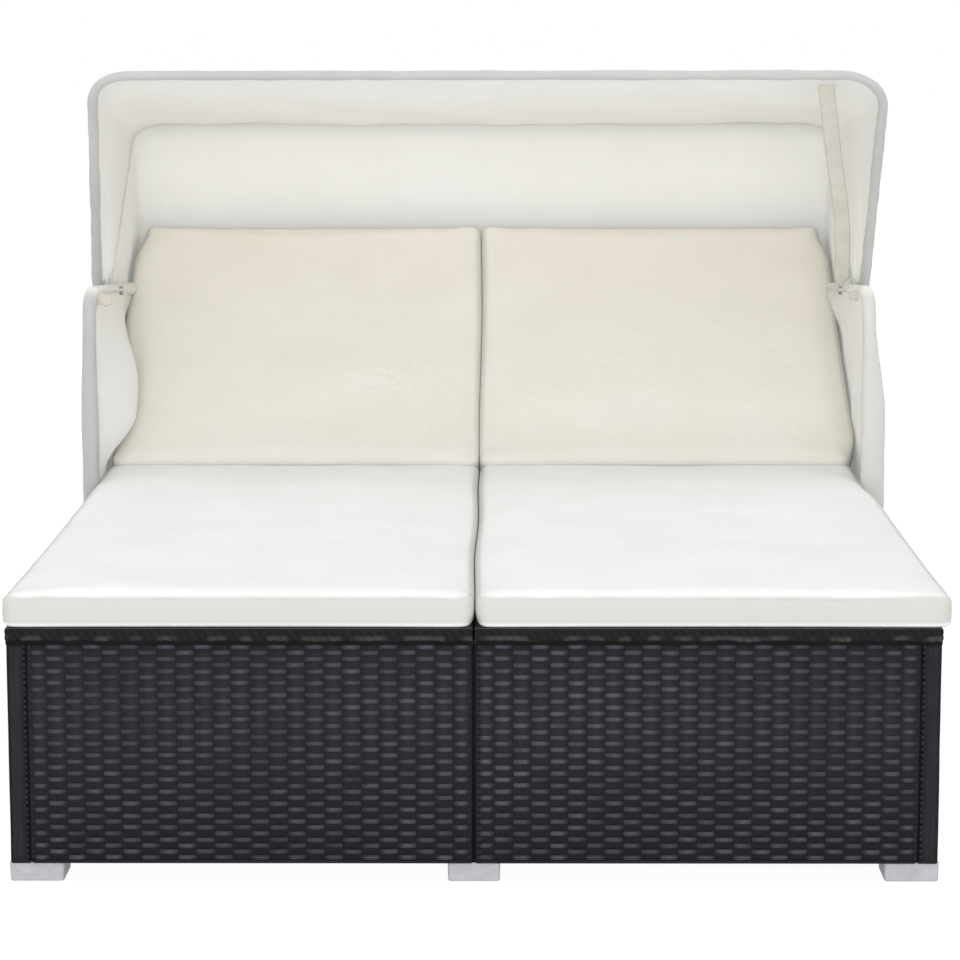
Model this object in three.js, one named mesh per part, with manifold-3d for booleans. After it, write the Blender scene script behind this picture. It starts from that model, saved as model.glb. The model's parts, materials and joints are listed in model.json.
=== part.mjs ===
// Outdoor daybed with a folding hood: a woven base on feet, two seats, two adjustable backs that stand on props,
// loose cushions, and a cloth hood on two bows that turn on the same pair of bolts.
// Millimetres. X runs across, Y from the front edge to the rear, Z up from the floor. Every piece is built where it
// lies, with the front edge at y = 0, and the whole is centred over the floor at the end.
import * as THREE from "three";
import { mergeVertices } from "three/addons/utils/BufferGeometryUtils.js";
import Module from "manifold-3d";

const wasm = await Module();
wasm.setup();

// Clearances
const touch = 0.3; // between pieces that lie against each other
const running = 0.15; // round a rod that turns in its bore
const overrun = 5; // how far a cutting shape passes the face that it cuts

// Base
const bedWidth = 1300;
const bedLength = 2020;
const middleSeam = 3; // between the left and the right half
const footHeight = 28;
const footSide = 74;
const footSetback = 10;
const panelThickness = 30;
const panelCorner = 6; // rounding of the panels' upright edges
const platformTop = 364; // top of the seat frames
const rimHeight = 22;
const beamWidth = 40;
const beamHeight = 47;
const postSide = 30;
const crossRailWidth = 40;
const crossRailHeight = 32;
const crossRailDrop = 12; // from the panels' top to the cross rails

// Seat and backrest frames
const backLength = 765; // from the hinge axis to the backs' far end
const railWidth = 30;
const railFromHinge = 12; // from the hinge axis to the frames on either side
const deckThickness = 5.4;
const slatWidth = 30;
const slatHeight = 3;
const seatSlats = 10;
const backSlatsPerBay = 3; // below and above the prop's rod
const restBackAngle = THREE.MathUtils.degToRad(29.5); // how far the backs stand up from flat
const hingeRodRadius = 6;
const sleeveRadius = 11;
const sleeveLength = 30;
const sleeveSpacing = 1;
const sleeveFromEdge = 6;

// Props under the backs
const propFromHinge = 380;
const propBelowAxis = 4; // from the frame's middle plane down to the prop's rod
const propSpare = 42.13; // how much longer the prop is than its rod is high in the steepest stand
const propArmRadius = 5;
const propArmSpacing = 180;
const propRodRadius = 5;
const propEyeRadius = 8.5;
const propEyeLength = 30;
const propFootRadius = 6;
const propFootOverhang = 8; // how much of the racks' thickness the foot leaves free
const footAboveRack = 0.6; // the open joint of the linkage
const rackBelowHinge = 38.6;
const rackThickness = 12;
const rackHeight = 30;
const rackEnd = 14; // rack left beyond the outer notches
const notchDepth = 4;
const notchRadius = 6.5;
const lowerStands = [0, 15].map(THREE.MathUtils.degToRad); // of the backs, below the one at rest

// Cushions
const seatCushionThickness = 50;
const backCushionThickness = 50;
const cushionCrown = 5;
const cushionEdge = 12; // rounding of the edges
const cushionCorner = 26; // rounding of the corners, seen from above
const cushionDrawIn = 4; // how far the sides pull in between the corners
const cushionEndGap = 5; // from the hinge axis to the seat cushion's end
const uprightBackAngle = THREE.MathUtils.degToRad(45); // the steepest stand of the backs

// Hood frame beside the base
const hoodTubeRadius = 10;
const hoodPostBeforeHinge = 195;
const hoodPostFromRear = 12;
const hoodPostFoot = 120; // above the floor
const hoodRailFront = 731; // height of the side rail's middle at its front end
const hoodRailRear = 653;
const hoodRailBend = 60;
const hoodRailLeg = 40; // straight tube below each bend
const boltRadius = 4;
const boltHeadRadius = 8;
const boltHeadHeight = 4;
const boltDepth = 22; // into the side panel
const boltHeight = 200; // above the floor

// Bows
const bowPivotBehindHinge = 165;
const bowTubeRadius = 9;
const bowReach = 522; // from the pivot to the middle of the cross bar
const bowCorner = 65;
const frontBowDrawIn = 13; // how far each leg leans in from its foot to the cross bar
const rearBowDrawIn = 0;
const bowTubeStart = 56; // from the pivot to the end of the round tube
const bowPlaneOut = 19.5; // from the side rail's middle plane to the bow's
const frontBowAngle = THREE.MathUtils.degToRad(41); // forward of upright
const rearBowAngle = THREE.MathUtils.degToRad(56); // behind upright
const lugThickness = 4;
const lugRadius = 11;
const lugOverlap = 12; // lug inside the round tube
const pivotHeadRadius = 9;
const pivotHeadHeight = 6;
const pivotNutHeight = 6;

// Cloth
const clothThickness = 1.5;
const clothOverBow = 6; // how far the cloth stands off the bars where it turns over them
const clothBesideBow = 1.5; // gap between the bows' legs and the cloth
const clothFromPivot = 72;
const roofSag = 10;
const gussetHollow = 6;
const rearHollow = 8;
const curtainBottom = 300; // above the floor
const strapWidth = 27;
const strapThickness = 2;
const strapTopFromLeg = 78; // from the leg's plane to the strap's middle at the cross bar
const strapFootReach = 64; // from the pivot to where the strap meets the bow's leg
const strapTip = 30;

// Facets
const tubeSides = 10;
const rodSides = 12;
const bendSteps = 4;

// Places worked out from the sizes above
const halfWidth = bedWidth / 2;
const panelBottom = footHeight + touch;
const panelTop = platformTop - rimHeight - touch;
const innerHalf = halfWidth - panelThickness - touch;
const hingeHeight = platformTop - rimHeight / 2;
const hingeFromFront = bedLength - backLength;
const hinge = [0, hingeFromFront, hingeHeight];
const seatLength = hingeFromFront - railFromHinge;
const rackAngles = [...lowerStands, restBackAngle, uprightBackAngle];
const footBelowHinge = rackBelowHinge - propFootRadius - footAboveRack;
const propLength =
  propFromHinge * Math.sin(uprightBackAngle) - propBelowAxis * Math.cos(uprightBackAngle) +
  footBelowHinge + propSpare;
const hoodTubeMiddle = halfWidth + touch + hoodTubeRadius;
const hoodPostFromFront = hingeFromFront - hoodPostBeforeHinge;
const bowPivotFromFront = hingeFromFront + bowPivotBehindHinge;
const hoodPostRear = bedLength - hoodPostFromRear;
const railRun = hoodPostRear - hoodPostFromFront;
const railSlope = (hoodRailRear - hoodRailFront) / railRun;
const bowPivotHeight = hoodRailFront + railSlope * (bowPivotFromFront - hoodPostFromFront);
const bowPlane = hoodTubeMiddle + bowPlaneOut;
const rearLugInside = hoodTubeMiddle + hoodTubeRadius + touch;
const frontLugInside = rearLugInside + lugThickness + touch;
const rackTop = hingeHeight - rackBelowHinge;

// Colours as in the photograph
const rattan = new THREE.MeshStandardMaterial({ color: 0x2f3034, roughness: 0.55, metalness: 0 });
const rim = new THREE.MeshStandardMaterial({ color: 0x2a2c2b, roughness: 0.6, metalness: 0 });
const footPlastic = new THREE.MeshStandardMaterial({ color: 0xc2c3c8, roughness: 0.5, metalness: 0 });
const frameMetal = new THREE.MeshStandardMaterial({ color: 0x3a3b3d, roughness: 0.45, metalness: 0.6 });
const bareMetal = new THREE.MeshStandardMaterial({ color: 0x9a9c9f, roughness: 0.35, metalness: 0.9 });
const cushionCloth = new THREE.MeshStandardMaterial({ color: 0xe6e4da, roughness: 0.9, metalness: 0 });
const hoodCloth = new THREE.MeshStandardMaterial({ color: 0xdedfd9, roughness: 0.9, metalness: 0 });
const strapWeb = new THREE.MeshStandardMaterial({ color: 0xd2ccbe, roughness: 0.9, metalness: 0 });

const model = new THREE.Group();

function addPiece(name, geometry, material, parent = model) {
  const mesh = new THREE.Mesh(geometry, material);
  mesh.name = name;
  parent.add(mesh);
  return mesh;
}

// A piece of the right half and its mirror image on the left.
function addPair(name, geometry, material, parent = model) {
  addPiece(name + "_right", geometry, material, parent);
  addPiece(name + "_left", geometry, material, parent).scale.x = -1;
}

// A closed geometry as a manifold solid.
function solidOf(geometry) {
  const bare = geometry.clone();
  bare.deleteAttribute("normal");
  bare.deleteAttribute("uv");
  const merged = mergeVertices(bare, 1e-3);
  return new wasm.Manifold(
    new wasm.Mesh({
      numProp: 3,
      vertProperties: new Float32Array(merged.attributes.position.array),
      triVerts: new Uint32Array(merged.index.array),
    }),
  );
}

function geometryOf(solid) {
  const mesh = solid.getMesh();
  const geometry = new THREE.BufferGeometry();
  geometry.setAttribute("position", new THREE.BufferAttribute(mesh.vertProperties, 3));
  geometry.setIndex(new THREE.BufferAttribute(mesh.triVerts, 1));
  geometry.computeVertexNormals();
  return geometry;
}

// The first geometries joined, less the later ones.
function carve(joined, cut = []) {
  let solid = joined.map(solidOf).reduce((whole, next) => whole.add(next));
  for (const tool of cut) solid = solid.subtract(solidOf(tool));
  return geometryOf(solid);
}

function boxBetween(low, high) {
  const size = high.map((value, i) => value - low[i]);
  const middle = high.map((value, i) => (value + low[i]) / 2);
  return new THREE.BoxGeometry(...size).translate(...middle);
}

// An upright slab with rounded upright edges.
function roundedSlab(low, high, radius) {
  const [x0, y0, z0] = low;
  const [x1, y1, z1] = high;
  const shape = new THREE.Shape();
  shape.moveTo(x0 + radius, y0);
  shape.lineTo(x1 - radius, y0);
  shape.absarc(x1 - radius, y0 + radius, radius, -Math.PI / 2, 0);
  shape.lineTo(x1, y1 - radius);
  shape.absarc(x1 - radius, y1 - radius, radius, 0, Math.PI / 2);
  shape.lineTo(x0 + radius, y1);
  shape.absarc(x0 + radius, y1 - radius, radius, Math.PI / 2, Math.PI);
  shape.lineTo(x0, y0 + radius);
  shape.absarc(x0 + radius, y0 + radius, radius, Math.PI, 1.5 * Math.PI);
  const options = { depth: z1 - z0, bevelEnabled: false, curveSegments: 2 };
  return new THREE.ExtrudeGeometry(shape, options).translate(0, 0, z0);
}

function ringShape(radius, sides) {
  const points = Array.from({ length: sides }, (_, k) => {
    const angle = (2 * Math.PI * k) / sides;
    return new THREE.Vector2(radius * Math.cos(angle), radius * Math.sin(angle));
  });
  return new THREE.Shape(points);
}

// A round rod along X, between two places on X.
function rodAlongX(radius, x0, x1, y, z, sides = rodSides) {
  const rod = new THREE.CylinderGeometry(radius, radius, x1 - x0, sides);
  return rod.rotateZ(Math.PI / 2).translate((x0 + x1) / 2, y, z);
}

function rodAlongY(radius, y0, y1, x, z) {
  const rod = new THREE.CylinderGeometry(radius, radius, y1 - y0, tubeSides);
  return rod.translate(x, (y0 + y1) / 2, z);
}

function rodAlongZ(radius, z0, z1, x, y) {
  const rod = new THREE.CylinderGeometry(radius, radius, z1 - z0, tubeSides);
  return rod.rotateX(Math.PI / 2).translate(x, y, (z0 + z1) / 2);
}

// The radius at the corners of a faceted bore that a rod of this radius turns in.
function boreFor(rodRadius, sides = rodSides) {
  return (rodRadius + running) / Math.cos(Math.PI / sides);
}

// A path that stops at chosen places, each with its own direction.
class StationPath extends THREE.Curve {
  constructor(stations) {
    super();
    this.stations = stations;
  }
  station(share) {
    return this.stations[Math.round(share * (this.stations.length - 1))];
  }
  getPoint(share, target = new THREE.Vector3()) {
    return target.copy(this.station(share).point);
  }
  getPointAt(share, target) {
    return this.getPoint(share, target);
  }
  getTangentAt(share, target = new THREE.Vector3()) {
    return target.copy(this.station(share).direction);
  }
}

// The stations of a line through corners, with each inner corner rounded to an arc.
function roundedLine(corners, radius) {
  const directions = corners.slice(1).map((p, i) => p.clone().sub(corners[i]).normalize());
  const stations = [{ point: corners[0], direction: directions[0] }];
  for (let i = 1; i < corners.length - 1; i += 1) {
    const before = directions[i - 1];
    const after = directions[i];
    const turn = before.angleTo(after);
    const start = corners[i].clone().addScaledVector(before, -radius * Math.tan(turn / 2));
    const inward = after.clone().addScaledVector(before, -before.dot(after)).normalize();
    for (let k = 0; k <= bendSteps; k += 1) {
      const angle = (turn * k) / bendSteps;
      const point = start.clone();
      point.addScaledVector(before, radius * Math.sin(angle));
      point.addScaledVector(inward, radius * (1 - Math.cos(angle)));
      const direction = before.clone().multiplyScalar(Math.cos(angle));
      direction.addScaledVector(inward, Math.sin(angle));
      stations.push({ point, direction });
    }
  }
  stations.push({ point: corners.at(-1), direction: directions.at(-1) });
  return stations;
}

function bentTube(corners, bend, radius) {
  const stations = roundedLine(corners, bend);
  const options = { steps: stations.length - 1, extrudePath: new StationPath(stations) };
  return new THREE.ExtrudeGeometry(ringShape(radius, tubeSides), options);
}

// A closed solid from rings of the same number of points, with a fan over the first and over the last ring.
function ringSolid(rings) {
  const count = rings[0].length;
  const vertices = rings.flat();
  const middleOf = (ring) =>
    ring.reduce((sum, p) => sum.add(p), new THREE.Vector3()).divideScalar(ring.length);
  vertices.push(middleOf(rings[0]), middleOf(rings.at(-1)));
  const first = vertices.length - 2;
  const last = vertices.length - 1;
  const faces = [];
  for (let k = 0; k < count; k += 1) {
    const next = (k + 1) % count;
    for (let r = 0; r + 1 < rings.length; r += 1) {
      const a = r * count + k;
      const b = r * count + next;
      faces.push(a, b, b + count, a, b + count, a + count);
    }
    const top = (rings.length - 1) * count;
    faces.push(first, next, k, last, top + k, top + next);
  }
  const geometry = new THREE.BufferGeometry().setFromPoints(vertices);
  geometry.setIndex(faces);
  geometry.computeVertexNormals();
  return geometry;
}

// A thin closed solid between two surfaces, each a function of two shares from 0 to 1.
function sheetSolid(outside, inside, across, along) {
  const vertices = [];
  for (const surface of [outside, inside]) {
    for (let i = 0; i <= across; i += 1) {
      for (let j = 0; j <= along; j += 1) vertices.push(surface(i / across, j / along));
    }
  }
  const layer = (across + 1) * (along + 1);
  const at = (side, i, j) => side * layer + i * (along + 1) + j;
  const faces = [];
  const quad = (a, b, c, d) => faces.push(a, c, b, a, d, c);
  for (let i = 0; i < across; i += 1) {
    for (let j = 0; j < along; j += 1) {
      quad(at(0, i, j), at(0, i + 1, j), at(0, i + 1, j + 1), at(0, i, j + 1));
      quad(at(1, i, j), at(1, i, j + 1), at(1, i + 1, j + 1), at(1, i + 1, j));
    }
    quad(at(0, i, 0), at(1, i, 0), at(1, i + 1, 0), at(0, i + 1, 0));
    quad(at(0, i, along), at(0, i + 1, along), at(1, i + 1, along), at(1, i, along));
  }
  for (let j = 0; j < along; j += 1) {
    quad(at(0, 0, j), at(0, 0, j + 1), at(1, 0, j + 1), at(1, 0, j));
    quad(at(0, across, j), at(1, across, j), at(1, across, j + 1), at(0, across, j + 1));
  }
  const geometry = new THREE.BufferGeometry().setFromPoints(vertices);
  geometry.setIndex(faces);
  geometry.computeVertexNormals();
  return geometry;
}

// Base: panels, beam, post, rails and feet.
function addBase() {
  const boltHoles = [hoodPostFromFront, hoodPostRear].map((y) =>
    rodAlongX(boreFor(boltRadius), halfWidth - boltDepth - touch, halfWidth + overrun, y, boltHeight),
  );
  const sideLow = [halfWidth - panelThickness, 0, panelBottom];
  const sideHigh = [halfWidth, bedLength, panelTop];
  addPair("side_panel", carve([roundedSlab(sideLow, sideHigh, panelCorner)], boltHoles), rattan);

  const endPanel = (name, y) => {
    const low = [middleSeam / 2, y, panelBottom];
    const high = [innerHalf, y + panelThickness, panelTop];
    addPair(name, roundedSlab(low, high, panelCorner), rattan);
  };
  endPanel("front_panel", 0);
  endPanel("rear_panel", bedLength - panelThickness);

  const beamBottom = panelTop - beamHeight;
  const beamStart = panelThickness + touch;
  const beamEnd = bedLength - beamStart;
  const beamHalf = beamWidth / 2;
  addPiece(
    "centre_beam",
    boxBetween([-beamHalf, beamStart, beamBottom], [beamHalf, beamEnd, panelTop]),
    frameMetal,
  );
  const postHalf = postSide / 2;
  const middle = bedLength / 2;
  const postLow = [-postHalf, middle - postHalf, panelBottom];
  const postHigh = [postHalf, middle + postHalf, beamBottom - touch];
  addPiece("centre_post", boxBetween(postLow, postHigh), frameMetal);

  const railTop = panelTop - crossRailDrop;
  const railLow = [beamHalf + touch, hingeFromFront - crossRailWidth / 2, railTop - crossRailHeight];
  const railHigh = [innerHalf, hingeFromFront + crossRailWidth / 2, railTop];
  addPair("cross_rail", boxBetween(railLow, railHigh), frameMetal);
}

function addFeet() {
  const half = footSide / 2;
  const rows = { front: footSetback + half, middle: bedLength / 2, rear: bedLength - footSetback - half };
  const columns = { left: half + touch - halfWidth, centre: 0, right: halfWidth - half - touch };
  for (const [row, y] of Object.entries(rows)) {
    for (const [column, x] of Object.entries(columns)) {
      const foot = boxBetween([x - half, y - half, 0], [x + half, y + half, footHeight]);
      addPiece(`foot_${row}_${column}`, foot, footPlastic);
    }
  }
}

// A frame with a woven deck on its top and slats below it, between two places on Y, in the right half.
function deckedFrame(y0, y1, top, slatMiddles) {
  const x0 = middleSeam / 2;
  const bottom = top - rimHeight;
  const inner = [x0 + railWidth, halfWidth - railWidth];
  const outside = boxBetween([x0, y0, bottom], [halfWidth, y1, top]);
  const deckBottom = top - deckThickness;
  const hollow = boxBetween(
    [inner[0], y0 + railWidth, bottom - overrun],
    [inner[1], y1 - railWidth, deckBottom],
  );
  const slats = slatMiddles.map((y) =>
    boxBetween(
      [inner[0] - overrun, y - slatWidth / 2, deckBottom - slatHeight],
      [inner[1] + overrun, y + slatWidth / 2, deckBottom + deckThickness / 2],
    ),
  );
  return carve([carve([outside], [hollow]), ...slats]);
}

function evenly(count, from, to) {
  return Array.from({ length: count }, (_, k) => from + ((to - from) * (k + 1)) / (count + 1));
}

// Where the hinge sleeves lie on X in the right half: the outer ones on the seat, the others on the back.
const firstSleeve = middleSeam / 2 + sleeveFromEdge;
const lastSleeve = halfWidth - sleeveFromEdge - sleeveLength;
const seatSleeves = [firstSleeve, lastSleeve];
const backSleeves = [
  firstSleeve + sleeveLength + sleeveSpacing,
  lastSleeve - sleeveLength - sleeveSpacing,
];

// A sleeve on the hinge axis with the web that joins it to its frame, in the plane through that axis.
function hingeSleeve(x, towards, y, z) {
  const webEnd = y + towards * (railFromHinge + overrun);
  const web = boxBetween(
    [x, Math.min(y, webEnd), z - hingeRodRadius],
    [x + sleeveLength, Math.max(y, webEnd), z + hingeRodRadius],
  );
  return [rodAlongX(sleeveRadius, x, x + sleeveLength, y, z), web];
}

function hingeBore(y, z) {
  return rodAlongX(boreFor(hingeRodRadius), middleSeam / 2, halfWidth, y, z);
}

function addSeats() {
  const slatMiddles = evenly(seatSlats, railWidth, seatLength - railWidth);
  const frame = deckedFrame(0, seatLength, platformTop, slatMiddles);
  const sleeves = seatSleeves.flatMap((x) => hingeSleeve(x, -1, hingeFromFront, hingeHeight));
  addPair("seat_frame", carve([frame, ...sleeves], [hingeBore(hingeFromFront, hingeHeight)]), rim);

  const rodStart = firstSleeve + overrun;
  const rodEnd = halfWidth - sleeveFromEdge - overrun;
  addPair("hinge_rod", rodAlongX(hingeRodRadius, rodStart, rodEnd, hingeFromFront, hingeHeight), bareMetal);
}

// The points of a rectangle with rounded corners and drawn-in sides, once round it.
const cushionCornerSteps = 3;
const cushionSideSteps = 4;
function cushionOutline(halfX, halfY, corner, drawIn) {
  const points = [];
  const corners = [[1, 1], [-1, 1], [-1, -1], [1, -1]];
  corners.forEach(([sx, sy], index) => {
    const start = (index * Math.PI) / 2;
    for (let k = 0; k <= cushionCornerSteps; k += 1) {
      const angle = start + (Math.PI / 2) * (k / cushionCornerSteps);
      const x = sx * (halfX - corner) + corner * Math.cos(angle);
      const y = sy * (halfY - corner) + corner * Math.sin(angle);
      points.push([x, y]);
    }
    const [nx, ny] = corners[(index + 1) % corners.length];
    const from = points.at(-1);
    const endAngle = start + Math.PI / 2;
    const to = [
      nx * (halfX - corner) + corner * Math.cos(endAngle),
      ny * (halfY - corner) + corner * Math.sin(endAngle),
    ];
    for (let k = 1; k < cushionSideSteps; k += 1) {
      const share = k / cushionSideSteps;
      const pull = drawIn * Math.sin(Math.PI * share);
      const x = from[0] + (to[0] - from[0]) * share - pull * Math.cos(endAngle);
      const y = from[1] + (to[1] - from[1]) * share - pull * Math.sin(endAngle);
      points.push([x, y]);
    }
  });
  return points;
}

const crownInsetShares = [0.9, 0.5, 0.22]; // how far in the crown's rings lie, as shares of half the width
const roundSteps = 3;

// A cushion with its lower face in the plane z = 0 and its middle over the origin: rounded edges, sides drawn in
// half way up, and a crowned top. The end towards -Y leans by the tangent given, so that it clears the seat.
function cushion(width, length, thickness, leanTangent = 0) {
  const edgeHeight = thickness - cushionCrown;
  const rings = [];
  const addRing = (inset, height, drawIn) => {
    const scaleShare = 1 - inset / (width / 2);
    const corner = cushionCorner * scaleShare;
    const outline = cushionOutline(width / 2 - inset, length / 2 - inset, corner, drawIn);
    const lean = ([, y]) => leanTangent * height * (0.5 - y / length);
    rings.push(outline.map((p) => new THREE.Vector3(p[0], p[1] + lean(p), height)));
  };
  crownInsetShares.forEach((share) => addRing((share * width) / 2, 0, 0));
  for (let k = 0; k <= roundSteps; k += 1) {
    const angle = (Math.PI / 2) * (k / roundSteps);
    const inset = cushionEdge * (1 - Math.sin(angle));
    addRing(inset, cushionEdge * (1 - Math.cos(angle)), cushionDrawIn * Math.sin(angle));
  }
  for (let k = 0; k <= roundSteps; k += 1) {
    const angle = (Math.PI / 2) * (k / roundSteps);
    const inset = cushionEdge * (1 - Math.cos(angle));
    addRing(inset, edgeHeight - cushionEdge * (1 - Math.sin(angle)), cushionDrawIn * Math.cos(angle));
  }
  crownInsetShares.toReversed().forEach((share) => {
    addRing((share * width) / 2, edgeHeight + cushionCrown * Math.sin((Math.PI / 2) * share), 0);
  });
  return ringSolid(rings);
}

const cushionWidth = halfWidth - middleSeam / 2;
const cushionMiddle = (halfWidth + middleSeam / 2) / 2;

function addSeatCushions() {
  const length = hingeFromFront - cushionEndGap;
  const geometry = cushion(cushionWidth, length, seatCushionThickness);
  geometry.translate(cushionMiddle, length / 2, platformTop + touch);
  addPair("seat_cushion", geometry, cushionCloth);
}

// Backs. Their group turns about the hinge axis: in it, y runs up the back and z stands out of its front.
const backGroup = new THREE.Group();
backGroup.position.set(...hinge);
backGroup.rotation.x = restBackAngle;
model.add(backGroup);

function addBacks() {
  const bay = [railFromHinge + railWidth, propFromHinge - propEyeRadius - slatWidth];
  const upperBay = [propFromHinge + propEyeRadius + slatWidth, backLength - railWidth];
  const slatMiddles = [...evenly(backSlatsPerBay, ...bay), ...evenly(backSlatsPerBay, ...upperBay)];
  const frame = deckedFrame(railFromHinge, backLength, rimHeight / 2, slatMiddles);
  const sleeves = backSleeves.flatMap((x) => hingeSleeve(x, 1, 0, 0));
  addPair("backrest_frame", carve([frame, ...sleeves], [hingeBore(0, 0)]), rim, backGroup);

  const rodStart = middleSeam / 2 + railWidth + touch;
  const rodEnd = halfWidth - railWidth - touch;
  const rod = rodAlongX(propRodRadius, rodStart, rodEnd, propFromHinge, -propBelowAxis);
  addPair("prop_rod", rod, bareMetal, backGroup);

  const bottom = rimHeight / 2 + touch;
  const lean = Math.tan(uprightBackAngle);
  const start = railFromHinge + bottom;
  const length = backLength - start;
  const geometry = cushion(cushionWidth, length, backCushionThickness, lean);
  geometry.translate(cushionMiddle, start + length / 2, bottom);
  addPair("back_cushion", geometry, cushionCloth, backGroup);
}

// How far the prop's foot lies behind the hinge when the back stands at this angle and the foot is in its notch.
function propStand(backAngle) {
  const rodBehind = propFromHinge * Math.cos(backAngle) + propBelowAxis * Math.sin(backAngle);
  const rodAbove = propFromHinge * Math.sin(backAngle) - propBelowAxis * Math.cos(backAngle);
  const tilt = Math.asin((rodAbove + footBelowHinge) / propLength);
  return { tilt, footBehind: rodBehind + propLength * Math.cos(tilt) };
}

// Props: two arms on the rod under the back and a long foot, in a group that turns about that rod.
function addProps() {
  const propGroup = new THREE.Group();
  propGroup.position.set(0, propFromHinge, -propBelowAxis);
  propGroup.rotation.x = -(restBackAngle + propStand(restBackAngle).tilt);
  backGroup.add(propGroup);

  const middle = cushionMiddle;
  const armPlaces = [middle - propArmSpacing / 2, middle + propArmSpacing / 2];
  const arms = armPlaces.map((x) => rodAlongY(propArmRadius, 0, propLength, x, 0));
  const eyes = armPlaces.map((x) =>
    rodAlongX(propEyeRadius, x - propEyeLength / 2, x + propEyeLength / 2, 0, 0),
  );
  const footStart = beamWidth / 2 + touch + propFootOverhang;
  const foot = rodAlongX(propFootRadius, footStart, innerHalf - propFootOverhang, propLength, 0);
  const bore = rodAlongX(boreFor(propRodRadius), 0, halfWidth, 0, 0);
  addPair("prop_bail", carve([...arms, ...eyes, foot], [bore]), bareMetal, propGroup);
}

// A notched strip on which the props' feet stand, along Y.
function rack(x) {
  const places = rackAngles.map((angle) => hingeFromFront + propStand(angle).footBehind);
  places.sort((a, b) => a - b);
  const start = places[0] - notchRadius - rackEnd;
  const end = Math.min(places.at(-1) + notchRadius + rackEnd, bedLength - panelThickness - touch);
  const strip = boxBetween([x, start, rackTop - rackHeight], [x + rackThickness, end, rackTop]);
  const notches = places.map((y) =>
    rodAlongX(notchRadius, x - overrun, x + rackThickness + overrun, y, rackTop + notchRadius - notchDepth),
  );
  return carve([strip], notches);
}

function addRacks() {
  addPair("prop_rack_inner", rack(beamWidth / 2 + touch), bareMetal);
  addPair("prop_rack_outer", rack(innerHalf - rackThickness), bareMetal);
}

// Hood frame: bent side rails on posts that stand against the base, a tube across the rear, and their bolts.
function addHoodFrame() {
  const x = hoodTubeMiddle;
  const frontLegEnd = hoodRailFront - hoodRailBend - hoodRailLeg;
  const rearLegEnd = hoodRailRear - hoodRailBend - hoodRailLeg;
  const corners = [
    new THREE.Vector3(x, hoodPostFromFront, frontLegEnd),
    new THREE.Vector3(x, hoodPostFromFront, hoodRailFront),
    new THREE.Vector3(x, hoodPostRear, hoodRailRear),
    new THREE.Vector3(x, hoodPostRear, rearLegEnd),
  ];
  const pivotHole = rodAlongX(
    boreFor(boltRadius), x - 2 * hoodTubeRadius, x + 2 * hoodTubeRadius, bowPivotFromFront, bowPivotHeight,
  );
  const rail = carve([bentTube(corners, hoodRailBend, hoodTubeRadius)], [pivotHole]);
  addPair("hood_side_rail", rail, hoodCloth);

  const posts = { front: [hoodPostFromFront, frontLegEnd], rear: [hoodPostRear, rearLegEnd] };
  for (const [place, [y, top]] of Object.entries(posts)) {
    const tube = rodAlongZ(hoodTubeRadius, hoodPostFoot, top - touch, x, y);
    const hole = rodAlongX(boreFor(boltRadius), x - 2 * hoodTubeRadius, x + 2 * hoodTubeRadius, y, boltHeight);
    addPair(`hood_post_${place}`, carve([tube], [hole]), hoodCloth);
    addPair(`hood_bolt_${place}`, panelBolt(y), bareMetal);
  }
  const tubeEnd = x - hoodTubeRadius - touch;
  const crossTubeHeight = hoodRailRear - hoodRailBend;
  addPiece(
    "hood_cross_tube",
    rodAlongX(hoodTubeRadius, -tubeEnd, tubeEnd, hoodPostRear, crossTubeHeight, tubeSides),
    frameMetal,
  );
}

// A screw through a post into the side panel, turned about its own axis.
function panelBolt(y) {
  const tip = halfWidth - boltDepth;
  const seat = hoodTubeMiddle + hoodTubeRadius + touch;
  const profile = [
    new THREE.Vector2(0, tip),
    new THREE.Vector2(boltRadius, tip),
    new THREE.Vector2(boltRadius, seat),
    new THREE.Vector2(boltHeadRadius, seat),
    new THREE.Vector2(boltHeadRadius, seat + boltHeadHeight / 2),
    new THREE.Vector2(boltRadius, seat + boltHeadHeight),
    new THREE.Vector2(0, seat + boltHeadHeight),
  ];
  return new THREE.LatheGeometry(profile, rodSides).rotateZ(-Math.PI / 2).translate(0, y, boltHeight);
}

// The bolt that both bows turn on: nut, shank and domed head, along X.
function pivotBolt() {
  const railInside = hoodTubeMiddle - hoodTubeRadius - touch;
  const headSeat = frontLugInside + lugThickness + touch;
  const profile = [
    new THREE.Vector2(0, railInside - pivotNutHeight),
    new THREE.Vector2(boltHeadRadius, railInside - pivotNutHeight),
    new THREE.Vector2(boltHeadRadius, railInside),
    new THREE.Vector2(boltRadius, railInside),
    new THREE.Vector2(boltRadius, headSeat),
    new THREE.Vector2(pivotHeadRadius, headSeat),
    new THREE.Vector2(pivotHeadRadius, headSeat + pivotHeadHeight / 2),
    new THREE.Vector2(pivotHeadRadius / 2, headSeat + pivotHeadHeight),
    new THREE.Vector2(0, headSeat + pivotHeadHeight),
  ];
  const bolt = new THREE.LatheGeometry(profile, rodSides).rotateZ(-Math.PI / 2);
  return bolt.translate(0, bowPivotFromFront, bowPivotHeight);
}

// A flat lug with a bolt hole, from the pivot up into the end of a bow's tube, on the right side.
function bowLug(inside) {
  const shape = new THREE.Shape();
  const top = bowTubeStart + lugOverlap;
  shape.moveTo(bowTubeRadius, top);
  shape.lineTo(-bowTubeRadius, top);
  shape.lineTo(-lugRadius, 0);
  shape.absarc(0, 0, lugRadius, Math.PI, 2 * Math.PI);
  const options = { depth: lugThickness, bevelEnabled: false, curveSegments: 3 };
  const lug = new THREE.ExtrudeGeometry(shape, options);
  return lug.rotateX(Math.PI / 2).rotateZ(Math.PI / 2).translate(inside, 0, 0);
}

// How far out a bow's leg stands at a reach from the pivot.
function legOut(reach, drawIn) {
  return bowPlane - (drawIn * (reach - bowTubeStart)) / (bowReach - bowTubeStart);
}

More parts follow.
